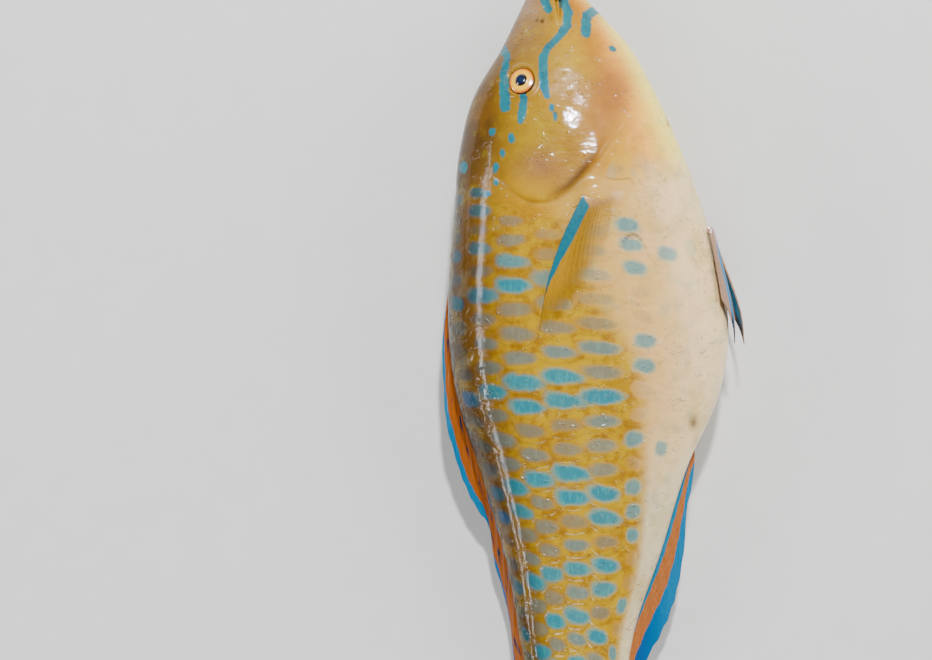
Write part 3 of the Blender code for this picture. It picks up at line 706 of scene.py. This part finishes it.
def body_marks(along, angle):
    """Band distance, painted groove shade and how dark the spots are, for points of the skin or the scales.
    """
    down = ring_down(along, angle)
    turn = turned(angle)
    bands = band_distance(along / MM, down / MM)
    bands = np.where((turn < 8) | (turn > 172), 9.0, bands)
    dark = 1 - step_up(34, 66, turn)
    return joined(bands, crease_shade(along, down, angle), dark)


def make_skin():
    along, angle = lattice(skin_rings(), np.arange(SKIN_AROUND) * 360 / SKIN_AROUND)
    down = ring_down(along, angle)
    behind = step_up(2.0, 12.0, gill_distance(along, down))
    height = relief(along, down, angle) * MM - mix(COAT_DEPTH, SCALED_DEPTH, behind)
    points = above_floor(skin_place(along, angle, height))
    faces = grid_faces(len(along), SKIN_AROUND, closed=True).tolist()
    count = along.size
    last = count - SKIN_AROUND
    for k in range(SKIN_AROUND):
        after = (k + 1) % SKIN_AROUND
        faces += [(after, k, count), (last + k, last + after, count + 1)]
    caps = points[[0, -1]].mean(axis=1)
    obj = new_mesh("skin", np.concatenate([points.reshape(-1, 3), caps]), faces)
    order = [*range(count), 0, last]
    colour_attribute(obj, "ground", ground_colour(along, angle).reshape(-1, 3)[order])
    vector_attribute(obj, "marks_and_shade", body_marks(along, angle).reshape(-1, 3)[order])
    nodes = ["head", "trunk", "tail_stem", "gill_cover_right", "gill_cover_left"]
    return finish_piece(obj, flesh_material("skin", False), "skin", *nodes)


# Scales

PITCH = 10.05
ROW_STARTS = (5.0, 0.6, -1.9, -5.2, -7.2, -8.3, -0.6, 3.6, -1.0, 4.0, -1.0)
SPOT_STRENGTH = (0.7, 0.9, 0.95, 1.0, 1.0, 1.0, 0.72, 0.35, 0.10, 0.0, 0.0)
SPOT_WIDTHS = (0.60, 0.74, 0.98, 1.04, 1.04, 1.06, 0.62, 0.60, 0.5, 0.5, 0.5)
SPOT_LENGTH = 0.305
BRICK_STRENGTH = (0.0, 0.25, 0.6, 0.9, 1.0, 1.0, 0.9, 0.2, 0.0, 0.0, 0.0)
BLUE_SPOTS = {
    1: (95, 118, 138, 178, 222, 232, 263, 283),
    2: (95, 101, 118, 138, 178, 218, 228, 260, 290),
    3: (126, 135, 175, 185, 215, 256, 276, 296),
    4: (136, 173, 183, 212, 222, 253, 273, 293),
    5: (181, 221, 232, 253, 263, 283),
    6: (111, 121, 133, 156, 168, 199, 218, 228, 239, 270, 290),
    7: (126, 204),
}
SCALE_GRID = 16
SCALE_LENGTH = 1.45
SCALE_WIDTH = 0.60
EDGE_RISE = 0.00009
SKIRT = 0.00006
SHOULDER = 0.120
SHOULDER_SQUEEZE = 0.8
FIN_ROOT = (0.0990, 0.0155)
FIN_ROOT_RADII = (0.0095, 0.0115)
PATCH_START = 0.080
PATCH_SPAN = 0.262
PATCH_HALF = 0.46
FIRST_LOWER_ROW = 5
ROWS_FROM = 200
GILL_CLEARANCE = 0.0065
NAPE_ANGLE = 50
NAPE_START = 0.0900
SCALES_END = 0.3335
SCALE_SEED = 7


def squeezed(along):
    """Scales stand closer on the shoulder than on the flank."""
    return SHOULDER - (SHOULDER - along) * SHOULDER_SQUEEZE if along < SHOULDER else along


def scale_pitch(centre):
    return PITCH * (SHOULDER_SQUEEZE if centre < SHOULDER else 1.0) * MM


def scale_wanted(row, along):
    """Whether a scale grows there: behind the gill opening and the nape, clear of the fin's root."""
    angle = row_angle(row, along)
    down = ring_down(along, angle)
    start = smooth_curve(GILL_DOWN, GILL_ALONG, down) + GILL_CLEARANCE
    if angle < NAPE_ANGLE:
        start = min(start, NAPE_START)
    return start < along < SCALES_END and spread(along, down, FIN_ROOT, FIN_ROOT_RADII) > 1


def scale_list():
    """Row, place along and side of each scale, from the front of each row."""
    found = []
    for side in (1, -1):
        # The row on the ridge of the back is shared by both sides
        for row in range(int(side < 0), len(ROW_STARTS)):
            for number in range(-14, 15):
                along = squeezed((ROWS_FROM + ROW_STARTS[row] + PITCH * number) * MM)
                if scale_wanted(row, along):
                    found.append((row, along, side))
    return found


def scale_shape(row, centre, side, rng):
    """Places along, angles, heights and edge line of one scale, as a grid with a turned-down edge."""
    pitch = scale_pitch(centre)
    p, q = lattice(np.linspace(0, 1, SCALE_GRID), np.linspace(-1, 1, SCALE_GRID))
    # Only the first of three draws is used
    tip = 0.5 * pitch * (1 + 0.05 * rng.standard_normal(3)[0])
    # The rear edge is bowed, with rounded corners
    corner = step_up(0.55, 1.0, np.abs(q)) * step_up(0.6, 1.0, p)
    bow = 0.16 * pitch * (q**2 * p**0.5 - 0.10 + corner)
    along = centre + tip - pitch * SCALE_LENGTH * (1 - p) - bow
    half = row_half(row, centre) * 2 * SCALE_WIDTH * np.sqrt(1 - 0.25 * (1 - p) ** 2)
    angle = row_angle(row, np.minimum(along, STANDARD_LENGTH)) + half * q
    rise = EDGE_RISE * (0.45 + 0.55 * step_up(0.10, 0.24, along))
    lift = 2.0 * rise * p**1.2 - 0.00060 - 0.00020 * np.abs(q) ** 3
    lift = mix(lift, 0.5 * rise * p - 0.00045, 0.9 * step_up(118, 140, angle))
    edge = step_up(0.86, 1.0, np.maximum(p, np.abs(q))) * (1 - step_up(5.0, 7.0, row))
    grids = (np.pad(grid, ((0, 1), (1, 1)), mode="edge") for grid in (along, angle, lift, edge))
    along, angle, lift, edge = grids
    for rim in (lift[-1:, :], lift[:, :1], lift[:, -1:]):
        rim -= SKIRT * (1 - 0.7 * step_up(5.0, 7.5, row))
    along[-1, :] += 0.00030
    angle[:, 0] -= 0.4
    angle[:, -1] += 0.4
    return along, angle * side, lift, edge


def spot_list(rng):
    """Row, place along, side, size, lean, strength and blueness of each spot."""
    found = []
    for row, centre, side in scale_list():
        blue = any(abs(centre / MM - place) < 4.5 for place in BLUE_SPOTS.get(row, ()))
        blueness = rng.uniform(0.85, 1.0) if blue else rng.uniform(0.05, 0.35)
        if not blue and row in (3, 4, 5) and rng.random() < 0.35:
            blueness = rng.uniform(0.4, 0.6)
        strength = SPOT_STRENGTH[row] * rng.uniform(0.84, 1.0)
        if not blue:
            strength *= rng.uniform(0.62, 0.88) if row < 6 else 0.25
        if row == 7 and blue:
            strength = 0.6
        if row in (4, 5) and centre < 0.150:
            strength *= 0.55
        size = rng.uniform(0.94, 1.08) if blue else rng.uniform(0.80, 0.98)
        if centre < 0.125 and row < 5:
            size *= 0.8
            strength *= 0.8
        found.append((row, centre, side, size, rng.uniform(0.05, 0.42), strength, blueness))
    return found


def spot_field(along, angle, spots):
    """For each point: distance in spot radii, strength and blueness of the nearest spot."""
    found = np.tile((3.0, 0.0, 0.0), (len(along), 1))
    for row, centre, side, size, lean, *paint in spots:
        across = (np.abs(angle) - row_angle(row, centre)) / row_half(row, centre)
        near = (np.abs(along - centre) < 0.009) & (np.abs(across) < 3) & (angle * side >= 0)
        u = (along[near] - centre) / (SPOT_LENGTH * PITCH * MM * size)
        v = across[near] / (SPOT_WIDTHS[row] * size)
        taper = np.clip(1.03 - 0.14 * across[near], 0.7, 1.3)
        reach = (np.abs((u - lean * v) / taper) ** 2.3 + np.abs(v) ** 2.6) ** 0.42
        closer = reach < found[near, 0]
        where = np.flatnonzero(near)[closer]
        found[where, 0] = reach[closer]
        found[where, 1:] = paint
    return found


def make_scales(material):
    rng = np.random.default_rng(SCALE_SEED)
    spots = spot_list(rng)
    groups = {}
    for row, centre, side in scale_list():
        group = ("right" if side > 0 else "left") + ("_upper" if row < FIRST_LOWER_ROW else "_lower")
        groups.setdefault(group, []).append((row, centre, scale_shape(row, centre, side, rng)))
    for group, scales in groups.items():
        build_scales(group, scales, spots, material)


def build_scales(group, scales, spots, material):
    rows, columns = SCALE_GRID + 1, SCALE_GRID + 2
    quads = grid_faces(rows, columns)
    faces = np.concatenate([quads + number * rows * columns for number in range(len(scales))])
    shapes = [shape for row, centre, shape in scales]
    along, angle, lift, edge = (np.concatenate([part.ravel() for part in parts]) for parts in zip(*shapes))
    obj = new_mesh("scales_" + group, above_floor(skin_place(along, angle, lift)), faces)
    row = row_place(along, np.abs(angle))
    brick = np.interp(row, range(len(BRICK_STRENGTH)), BRICK_STRENGTH)
    brick *= 1 - step_up(-0.2, 0.6, row - np.interp(along / MM, *MUSTARD_ENDS))
    colour_attribute(obj, "ground", ground_colour(along, angle))
    vector_attribute(obj, "marks_and_shade", body_marks(along, angle))
    vector_attribute(obj, "spot", spot_field(along, angle, spots))
    vector_attribute(obj, "cell", joined(brick, edge, 0))
    bake_map(obj, np.concatenate([scale_patch(row, centre) for row, centre, shape in scales]))
    finish_piece(obj, material, "skin")


def scale_patch(row, centre):
    """This scale's own patch of the bake, at its root's place on the body laid flat."""
    low, high = (0, FIRST_LOWER_ROW) if row < FIRST_LOWER_ROW else (FIRST_LOWER_ROW, len(ROW_STARTS))
    half_u = PATCH_HALF * scale_pitch(centre) / PATCH_SPAN
    half_v = PATCH_HALF / (high - low)
    u = (centre - PATCH_START) / PATCH_SPAN + half_u * np.linspace(-1, 1, SCALE_GRID + 1)
    v = (row - low + 0.5) / (high - low) + half_v * np.linspace(-1, 1, SCALE_GRID + 2)
    return joined(*lattice(u, v)).reshape(-1, 2)


# Eyes

EYE_RADII = (0.0060, 0.0054)
EYE_RINGS = 40
EYE_SPOKES = 80
EYE_DEPTH = 0.0045


def eye_material():
    n = Nodes("eye")
    node, place = n.attribute("iris")
    ring = n.plus(place[0], n.wobble(0.03, 900, 2))
    fibres = n.noise(26, 3, 0.6, node.outputs["Vector"], (1.0, 9.0, 1.0))
    iris = n.blend(n.rise(fibres, 0.3, 0.7), (238, 186, 120), (246, 206, 150))
    iris = n.blend(n.rise(ring, 0.70, 0.94), iris, (228, 150, 66))
    iris = n.blend(n.rise(ring, 0.93, 0.985), iris, (40, 22, 12))
    pupil = n.blend(n.rise(ring, 0.10, 0.34), (40, 70, 104), (16, 30, 56))
    inner = n.blend(n.rise(ring, 0.42, 0.455), pupil, (28, 16, 14))
    colour = n.blend(n.rise(ring, 0.455, 0.50), inner, iris)
    return n.surface(colour, 0.18, coat=1.0, coat_roughness=0.02)


def make_eye(word, side, material):
    turn = np.arange(EYE_SPOKES) * math.tau / EYE_SPOKES
    ring, spoke = lattice(np.linspace(0.0, 1.12, EYE_RINGS), turn)
    angle = side * flank_angle(*EYE_PLACE)
    here = ring_point(EYE_PLACE[0], angle)
    normal = skin_normal(EYE_PLACE[0], angle)
    rearward = unit(np.array([0.0, -1.0, 0.0]) - normal * np.dot((0.0, -1.0, 0.0), normal))
    downward = unit(np.cross(normal, rearward))
    downward = downward * np.sign(downward[0])
    dome = 0.0021 * np.sqrt(np.clip(1 - (ring * 0.86) ** 2, 0, 1)) - 0.0016
    dome += 0.00045 * (1 - step_up(0.30, 0.50, ring))
    dome -= 0.0009 * step_up(0.95, 1.10, ring)
    front = here + rearward * (ring * EYE_RADII[0] * np.cos(spoke))[..., None]
    front += downward * (ring * EYE_RADII[1] * np.sin(spoke))[..., None] + normal * dome[..., None]
    back = here - normal * EYE_DEPTH
    faces = grid_faces(EYE_RINGS, EYE_SPOKES, closed=True).tolist()
    last = (EYE_RINGS - 1) * EYE_SPOKES
    faces += [(last + k, last + (k + 1) % EYE_SPOKES, ring.size) for k in range(EYE_SPOKES)]
    obj = new_mesh("eyeball_" + word, np.vstack([front.reshape(-1, 3), back]), faces)
    iris = joined(ring, spoke / math.tau, 0).reshape(-1, 3)
    vector_attribute(obj, "iris", np.vstack([iris, [1.2, 0.0, 0.0]]))
    return finish_piece(obj, material, "eye", "eye_" + word)


# Beak

BEAK_ROWS = 15
BEAK_COLUMNS = 81
TEETH = 11
TOOTH_REACH = 0.00025


def beak_material():
    n = Nodes("beak")
    node, tooth = n.attribute("tooth")
    ridges = n.noise(5, 2, 0.5, node.outputs["Vector"], (6.0, 1.0, 1.0))
    colour = n.blend(n.rise(ridges, 0.3, 0.7), (222, 208, 178), (236, 228, 208))
    stain = n.times(n.rise(tooth[1], 0.75, 0.0), 0.65)
    colour = n.blend(stain, colour, (120, 150, 130))
    height = n.math("SINE", n.times(tooth[0], 60.0))
    return n.surface(colour, 0.28, n.bump(height, 0.0002, 0.4), coat=0.4, coat_roughness=0.08)


def make_beak(word, downs, material):
    share, across = lattice(np.linspace(0, 1, BEAK_ROWS), np.linspace(0, 1, BEAK_COLUMNS))
    turn = np.radians(mix(-BEAK_TURN, BEAK_TURN, across))
    teeth = TOOTH_REACH * np.abs(np.sin(TEETH * math.pi * across)) * step_up(0.5, 1.0, share)
    down = mix(*downs, share) - math.copysign(1.0, downs[1] - downs[0]) * (TOOTH_REACH - teeth)
    scale = mix(0.86, 0.97, share)
    sheets = []
    for depth in (0.0001, mix(0.0020, 0.0005, share)):
        out = (BEAK_HALF_WIDTH * scale - depth) * np.sin(turn)
        ahead = (BEAK_REACH * scale - depth) * np.cos(turn)
        sheets.append(placed(BEAK_REACH + 0.0002 - ahead, down, out))
    obj = closed_sheet("tooth_plate_" + word, *sheets)
    sheet_attribute(obj, "tooth", across, share, 0)
    return finish_piece(obj, material, "beak", word + "_beak")


def closed_sheet(name, over, under):
    """A closed sheet between two grids of points."""
    rows, columns = over.shape[:2]
    number = np.arange(rows * columns).reshape(rows, columns)
    top = grid_faces(rows, columns)
    edge = np.concatenate([number[0], number[1:, -1], number[-1, -2::-1], number[-2:0:-1, 0]])
    after = np.roll(edge, -1)
    rim = np.stack([after, edge, edge + number.size, after + number.size], axis=1)
    faces = np.concatenate([top, top[:, ::-1] + number.size, rim])
    return new_mesh(name, np.concatenate([over.reshape(-1, 3), under.reshape(-1, 3)]), faces)


def sheet_attribute(obj, name, *parts):
    """The same three values on both faces of a closed sheet."""
    values = joined(*parts).reshape(-1, 3)
    vector_attribute(obj, name, np.tile(values, (2, 1)))


# Fins

FIRST_FORK = 0.40
FIN_CLEARANCE = 0.0001
PRESSED_CLEARANCE = 0.0006
DORSAL_RAYS, ANAL_RAYS, TAIL_RAYS, PECTORAL_RAYS, PELVIC_RAYS = 19, 12, 13, 13, 6


def branched(share, reach, rays):
    """Height of a fin's rays over its web, from 0 to 1: each ray forks twice on its way out."""
    place = share * (rays - 1)
    offset = place - np.round(place)
    wide = mix(0.24, 0.16, reach) * mix(1.0, 0.45, step_up(FIRST_FORK, 1.0, reach))
    fork = 0.30 * step_up(FIRST_FORK, 1.15, reach)
    twig = 0.13 * step_up(0.72, 1.2, reach)
    middles = (fork + twig, fork - twig, twig - fork, -fork - twig)
    return np.max([hump(offset - middle, wide) for middle in middles], axis=0) * mix(1.0, 0.55, reach)


def fin_sheet(name, node, rays, fineness, places, thick, material, lift=None, plain_lead=False):
    """A fin as a closed sheet, with branched rays raised on both faces.

    Its fineness is the columns for each ray and the rows, and places gives its middle's points.
    """
    columns = np.linspace(0, 1, rays * fineness[0] + 1)
    share, reach = lattice(columns, np.linspace(0, 1, fineness[1]))
    middle = places(share, reach)
    ridge = branched(share, reach, rays)
    ridge = ridge * (1 - 0.12 * (0.5 + 0.5 * np.sin(reach * 190)) * step_up(0.2, 0.5, reach))
    if plain_lead:
        ridge = ridge * step_up(0.16, 0.34, share)
    half = (thick[0] + thick[1] * ridge * mix(1.0, 0.5, reach))[..., None]
    if lift is None:
        lift = unit(np.cross(np.gradient(middle, axis=0), np.gradient(middle, axis=1)))
    half = np.multiply(lift, half)
    sheets = (above_floor(sheet, FIN_CLEARANCE) for sheet in (middle + half, middle - half))
    obj = closed_sheet(name, *sheets)
    sheet_attribute(obj, "fin", share, reach, ridge)
    gap = np.linalg.norm(middle[:, :, None] - middle[0], axis=-1).min(axis=-1) / MM
    sheet_attribute(obj, "edge", gap, 0, 0)
    return finish_piece(obj, material, "fin", node)


def midline_places(base, lengths, fold, droop, angle, rays, share, reach):
    along = mix(*base, share) * STANDARD_LENGTH
    root = ring_point(along, angle)
    tangent = unit(ring_point(along + 0.004, angle) - ring_point(along - 0.004, angle))
    outward = unit(np.cross(tangent, (0.0, 0.0, 1.0 if angle == 0 else -1.0)))
    lean = np.radians(np.interp(share, *droop))[..., None]
    upright = outward * np.cos(lean) - np.array([0.0, 0.0, 1.0]) * np.sin(lean)
    folded = np.interp(share, *fold)
    length = smooth_curve(*lengths, share) * (1 - 0.035 * edge_wave(share, rays))
    length = length + ROOT_SUNK / np.sin(np.radians(folded))
    bend = np.radians(folded * (1.15 - 0.3 * reach))[..., None]
    forward = tangent * np.cos(bend) + upright * np.sin(bend)
    return root - outward * ROOT_SUNK + forward * (length * reach)[..., None]


def edge_wave(share, rays):
    """0 at a ray's tip and 1 in the web between two rays."""
    return np.abs(np.sin(math.pi * share * (rays - 1))) ** 1.5


def pectoral_places(side, share, reach):
    turn = np.radians(mix(*PECTORAL_ANGLES, share))
    length = reach * mix(*PECTORAL_LENGTHS, share**1.1) * (1 - 0.03 * edge_wave(share, PECTORAL_RAYS))
    bow = PECTORAL_BOW * np.sin(math.pi * reach) * (1 - share)
    base_along, base_down = zip(*PECTORAL_BASE)
    along = mix(*base_along, share) + length * np.cos(turn)
    down = mix(*base_down, share) + length * np.sin(turn) - bow
    angle = flank_angle(along, down)
    if side > 0:
        return skin_place(along, angle, np.interp(reach, PECTORAL_REACHES, PECTORAL_LIFTS))
    return above_floor(skin_place(along, -angle, 0.0)) + (0.0, 0.0, PRESSED_CLEARANCE)


def pelvic_places(side, share, reach):
    along = mix(*PELVIC_ALONG, share) + mix(*PELVIC_LENGTHS, share) * reach
    angle = 180 - side * mix(mix(*PELVIC_ROOT_ANGLES, share), mix(*PELVIC_TIP_ANGLES, share), reach)
    return skin_place(along, angle, np.interp(reach, PELVIC_REACHES, PELVIC_LIFTS[side]))


def tail_places(share, reach):
    fan = 2 * share - 1
    turn = np.radians(TAIL_FAN * fan)
    length = reach * mix(*TAIL_LENGTHS, np.abs(fan) ** 2.2) * (1 - 0.02 * edge_wave(share, TAIL_RAYS))
    return placed(TAIL_ROOT + length * np.cos(turn), TAIL_HALF_ROOT * fan + length * np.sin(turn), 0.0)


def fin_nodes(name):
    """What all fins' materials start from, with streaks along the rays and a fine noise."""
    n = Nodes(name)
    node, (share, reach, ridge) = n.attribute("fin")
    streak = n.noise(60, 3, 0.6, node.outputs["Vector"], (8.0, 0.35, 0.0))
    return n, share, reach, ridge, streak, n.noise(700, 3, 0.6)


def fin_surface(n, colour, fine):
    normal = n.bump(fine, 0.0001, 0.3)
    return n.surface(colour, 0.40, normal, coat=0.2, coat_roughness=0.08, specular=0.05)


def banded_fin_material(name, blue_from, front_blue, base_blue, orange, blots):
    """Orange fin with a blue margin, other in width at the front, and a blue streak along its base."""
    n, share, reach, ridge, streak, fine = fin_nodes(name)
    out = n.plus(reach, n.times(n.less(streak, 0.5), 0.10))
    colour = n.blend(n.rise(streak, 0.35, 0.65), orange, (174, 106, 54))
    colour = n.blend(n.times(ridge, 0.22), colour, (170, 92, 40))
    if blots:
        blot = n.noise(9, 1, 0.4, n.attribute("fin")[0].outputs["Vector"], (2.6, 0.8, 0.0))
        middle = n.times(n.rise(out, 0.30, 0.42), n.rise(out, 0.72, 0.60))
        colour = n.blend(n.times(n.rise(blot, 0.60, 0.66), middle), colour, (20, 66, 96))
    front = n.blend(n.rise(streak, 0.4, 0.7), FIN_BLUE, (12, 140, 174))
    rear = n.blend(n.rise(streak, 0.4, 0.7), DEEP_FIN_BLUE, (8, 130, 178))
    blue = n.blend(n.rise(share, 0.40, 0.80), front, rear)
    early = n.times(n.rise(share, 0.50, 0.05), blue_from - front_blue)
    margin = n.plus(out, early)
    colour = n.blend(n.rise(margin, blue_from - 0.004, blue_from + 0.004), colour, blue)
    colour = n.blend(n.rise(out, base_blue + 0.004, base_blue - 0.004), colour, (52, 156, 178))
    return fin_surface(n, colour, fine)


def tail_material():
    n, share, reach, ridge, streak, fine = fin_nodes("tail_fin")
    side = n.math("ABSOLUTE", n.less(n.times(share, 2.0), 1.0))
    edge = n.plus(side, n.times(n.less(streak, 0.5), 0.12))
    colour = n.blend(n.rise(streak, 0.35, 0.65), (176, 150, 66), (132, 118, 88))
    colour = n.blend(n.rise(reach, 0.30, 0.05), colour, (70, 120, 150))
    colour = n.blend(n.times(n.rise(reach, 0.86, 0.97), 0.8), colour, (40, 140, 176))
    colour = n.blend(n.times(ridge, 0.3), colour, (120, 84, 40))
    colour = n.blend(n.rise(edge, 0.68, 0.72), colour, (168, 92, 30))
    blue = n.blend(n.rise(streak, 0.4, 0.7), (0, 124, 176), (0, 136, 184))
    colour = n.blend(n.rise(edge, 0.76, 0.80), colour, blue)
    return fin_surface(n, colour, fine)


def pectoral_material():
    n, share, reach, ridge, streak, fine = fin_nodes("pectoral_fin")
    edge = n.attribute("edge")[1][0]
    colour = n.blend(n.rise(streak, 0.35, 0.65), (182, 136, 20), (204, 166, 44))
    colour = n.blend(n.rise(share, 0.35, 0.9), colour, (206, 172, 112))
    colour = n.blend(n.times(ridge, 0.45), colour, (162, 114, 20))
    width = n.times(n.rise(reach, 0.03, 0.15), 4.6)
    width = n.less(width, n.times(n.rise(reach, 0.36, 0.82), 4.4))
    lead = n.rise(n.less(n.plus(edge, n.wobble(0.9, 300, 2)), width), 0.35, -0.35)
    blue = n.blend(n.rise(fine, 0.4, 0.7), (0, 142, 150), (8, 128, 142))
    blue = n.blend(n.rise(reach, 0.66, 0.76), blue, (118, 100, 80))
    colour = n.blend(n.rise(reach, 0.20, 0.06), colour, (206, 172, 140))
    colour = n.blend(lead, colour, blue)
    border = n.times(n.rise(edge, 0.55, 0.15), n.rise(reach, 0.08, 0.16))
    colour = n.blend(n.times(border, 0.5), colour, (30, 70, 90))
    alpha = n.less(0.92, n.times(n.rise(share, 0.15, 0.75), 0.74))
    alpha = n.math("MAXIMUM", alpha, n.times(ridge, n.rise(share, 1.1, 0.3)))
    alpha = n.times(alpha, n.rise(reach, 1.05, 0.70))
    alpha = n.math("MAXIMUM", alpha, lead)
    n.link(alpha, n.shader.inputs["Alpha"])
    return fin_surface(n, colour, fine)


def pelvic_material():
    n, share, reach, ridge, streak, fine = fin_nodes("pelvic_fin")
    colour = n.blend(n.rise(streak, 0.35, 0.65), (190, 164, 148), (164, 136, 118))
    colour = n.blend(n.times(ridge, 0.3), colour, (206, 184, 164))
    lead = n.rise(n.math("ABSOLUTE", n.less(share, 0.30)), 0.26, 0.18)
    blue = n.blend(n.rise(streak, 0.4, 0.7), (84, 160, 192), (120, 182, 204))
    blue = n.blend(n.rise(reach, 0.84, 0.95), blue, (60, 74, 90))
    blue = n.blend(n.rise(reach, 0.30, 0.12), blue, (190, 170, 176))
    colour = n.blend(lead, colour, blue)
    return fin_surface(n, colour, fine)


def make_fins():
    sail, thin, flat = (0.00012, 0.00045), (0.00012, 0.00024), (0.00012, 0.00022)
    places = partial(
        midline_places, DORSAL_BASE, DORSAL_LENGTHS, DORSAL_FOLD, DORSAL_DROOP, 0, DORSAL_RAYS
    )
    paint = banded_fin_material("dorsal_fin", 0.84, 0.84, 0.27, FIN_ORANGE, True)
    fin_sheet("dorsal_sail", "dorsal_fin", DORSAL_RAYS, (10, 44), places, sail, paint)
    places = partial(midline_places, ANAL_BASE, ANAL_LENGTHS, ANAL_FOLD, ANAL_DROOP, 180, ANAL_RAYS)
    paint = banded_fin_material("anal_fin", 0.60, 0.45, 0.262, (206, 152, 112), False)
    fin_sheet("anal_sail", "anal_fin", ANAL_RAYS, (12, 44), places, flat, paint)
    fin_sheet("tail_fan", "tail_fin", TAIL_RAYS, (16, 60), tail_places, sail, tail_material())
    paint = pectoral_material()
    shown = {"thick": thin, "plain_lead": True}
    pressed = {"thick": sail, "lift": (0.0, 0.0, 1.0)}
    for word, side, settings in (("right", 1, shown), ("left", -1, pressed)):
        places = partial(pectoral_places, side)
        fin = ("pectoral_" + word, "pectoral_fin_" + word, PECTORAL_RAYS, (12, 56), places)
        fin_sheet(*fin, material=paint, **settings)
    paint = pelvic_material()
    for word, side in SIDES:
        fin = ("pelvic_" + word, "pelvic_fin_" + word, PELVIC_RAYS, (16, 50), partial(pelvic_places, side))
        fin_sheet(*fin, sail, paint)


# Studio

FLOOR_HALF = 5.0
CAMERA_TARGET = np.array([-0.0539, 0.0486, 0.030])
CAMERA_DISTANCE = 0.7715
CAMERA_TAILWARD = 3.35
CAMERA_BELLYWARD = 2.24
CAMERA_ROLL = -1.706
CAMERA_LENS = 70.0
CAMERA_SENSOR = 36.0
# Name, place, target, width, height and power of each light
LIGHTS = (
    ("lamp", (0.107, 0.890, 1.100), (0.0, 0.13, 0.04), 0.10, 0.085, 31.0),
    ("spark", (0.107, 0.890, 1.110), (0.0, 0.13, 0.04), 0.08, 0.07, 42.0),
    ("tail_softbox", (-0.15, -1.25, 1.0), (0.0, -0.05, 0.03), 0.6, 0.6, 15.0),
    ("belly_softbox", (1.35, 0.10, 0.68), (0.0, 0.0, 0.03), 1.0, 1.4, 22.0),
    ("strip", (-0.96, -0.12, 0.52), (-0.05, 0.0, 0.04), 0.010, 1.5, 8.0),
)
SKY_LIGHT = (0.86, 0.90, 1.0, 1.0)
SKY_POWER = 0.13


def make_floor():
    corners = ((-1, -1), (1, -1), (1, 1), (-1, 1))
    obj = new_mesh("floor", [(x * FLOOR_HALF, y * FLOOR_HALF, 0) for x, y in corners], [(0, 1, 2, 3)])
    n = Nodes("floor")
    colour = n.blend(n.noise(60, 4, 0.6), (0.60, 0.60, 0.59, 1.0), (0.66, 0.66, 0.65, 1.0))
    obj.data.materials.append(n.surface(colour, 0.7, specular=0.2))


def set_place(obj, right, up, away, place):
    """Puts an object somewhere, looking the other way from away."""
    matrix = np.eye(4)
    matrix[:3, 0], matrix[:3, 1], matrix[:3, 2], matrix[:3, 3] = right, up, away, place
    obj.matrix_world = Matrix(matrix.tolist())


def aim(obj, place, target):
    """Turns an object's -Z to a target."""
    away = unit(np.asarray(place, float) - np.asarray(target, float))
    right = unit(np.cross((0.0, 1.0, 0.0), away))
    set_place(obj, right, np.cross(away, right), away, place)


def area_light(name, place, target, width, height, power):
    light = bpy.data.lights.new(name, "AREA")
    light.shape = "RECTANGLE"
    light.size, light.size_y = width, height
    light.energy = power
    obj = add_object(name, light)
    aim(obj, place, target)
    # The spark only brightens the glints
    obj.visible_diffuse = name != "spark"


def make_lights():
    for light in LIGHTS:
        area_light(*light)
    world = bpy.data.worlds.new("studio")
    world.use_nodes = True
    background = world.node_tree.nodes["Background"]
    background.inputs["Color"].default_value = SKY_LIGHT
    background.inputs["Strength"].default_value = SKY_POWER
    bpy.context.scene.world = world


def make_camera():
    tail, belly, roll = (math.radians(t) for t in (CAMERA_TAILWARD, CAMERA_BELLYWARD, CAMERA_ROLL))
    above = np.array([0.0, -math.sin(tail), math.cos(tail)])
    away = above * math.cos(belly) + np.array([math.sin(belly), 0.0, 0.0])
    place = CAMERA_TARGET + away * CAMERA_DISTANCE
    right = unit(np.cross((0.0, 1.0, 0.0), away))
    up = np.cross(away, right)
    across = right * math.cos(roll) + up * math.sin(roll)
    upward = -right * math.sin(roll) + up * math.cos(roll)
    camera = bpy.data.cameras.new("camera")
    camera.lens = CAMERA_LENS
    camera.sensor_width = CAMERA_SENSOR
    camera.clip_start = 0.01
    obj = add_object("camera", camera)
    set_place(obj, across, upward, away, place)
    bpy.context.scene.camera = obj


def plain(corner):
    return [float(value) for value in corner]


def main():
    make_camera()
    make_floor()
    make_lights()
    make_skin()
    make_scales(flesh_material("scales", True))
    eye = eye_material()
    for word, side in SIDES:
        make_eye(word, side, eye)
    tooth = beak_material()
    make_beak("upper", UPPER_BEAK_DOWN, tooth)
    make_beak("lower", LOWER_BEAK_DOWN, tooth)
    make_fins()


main()
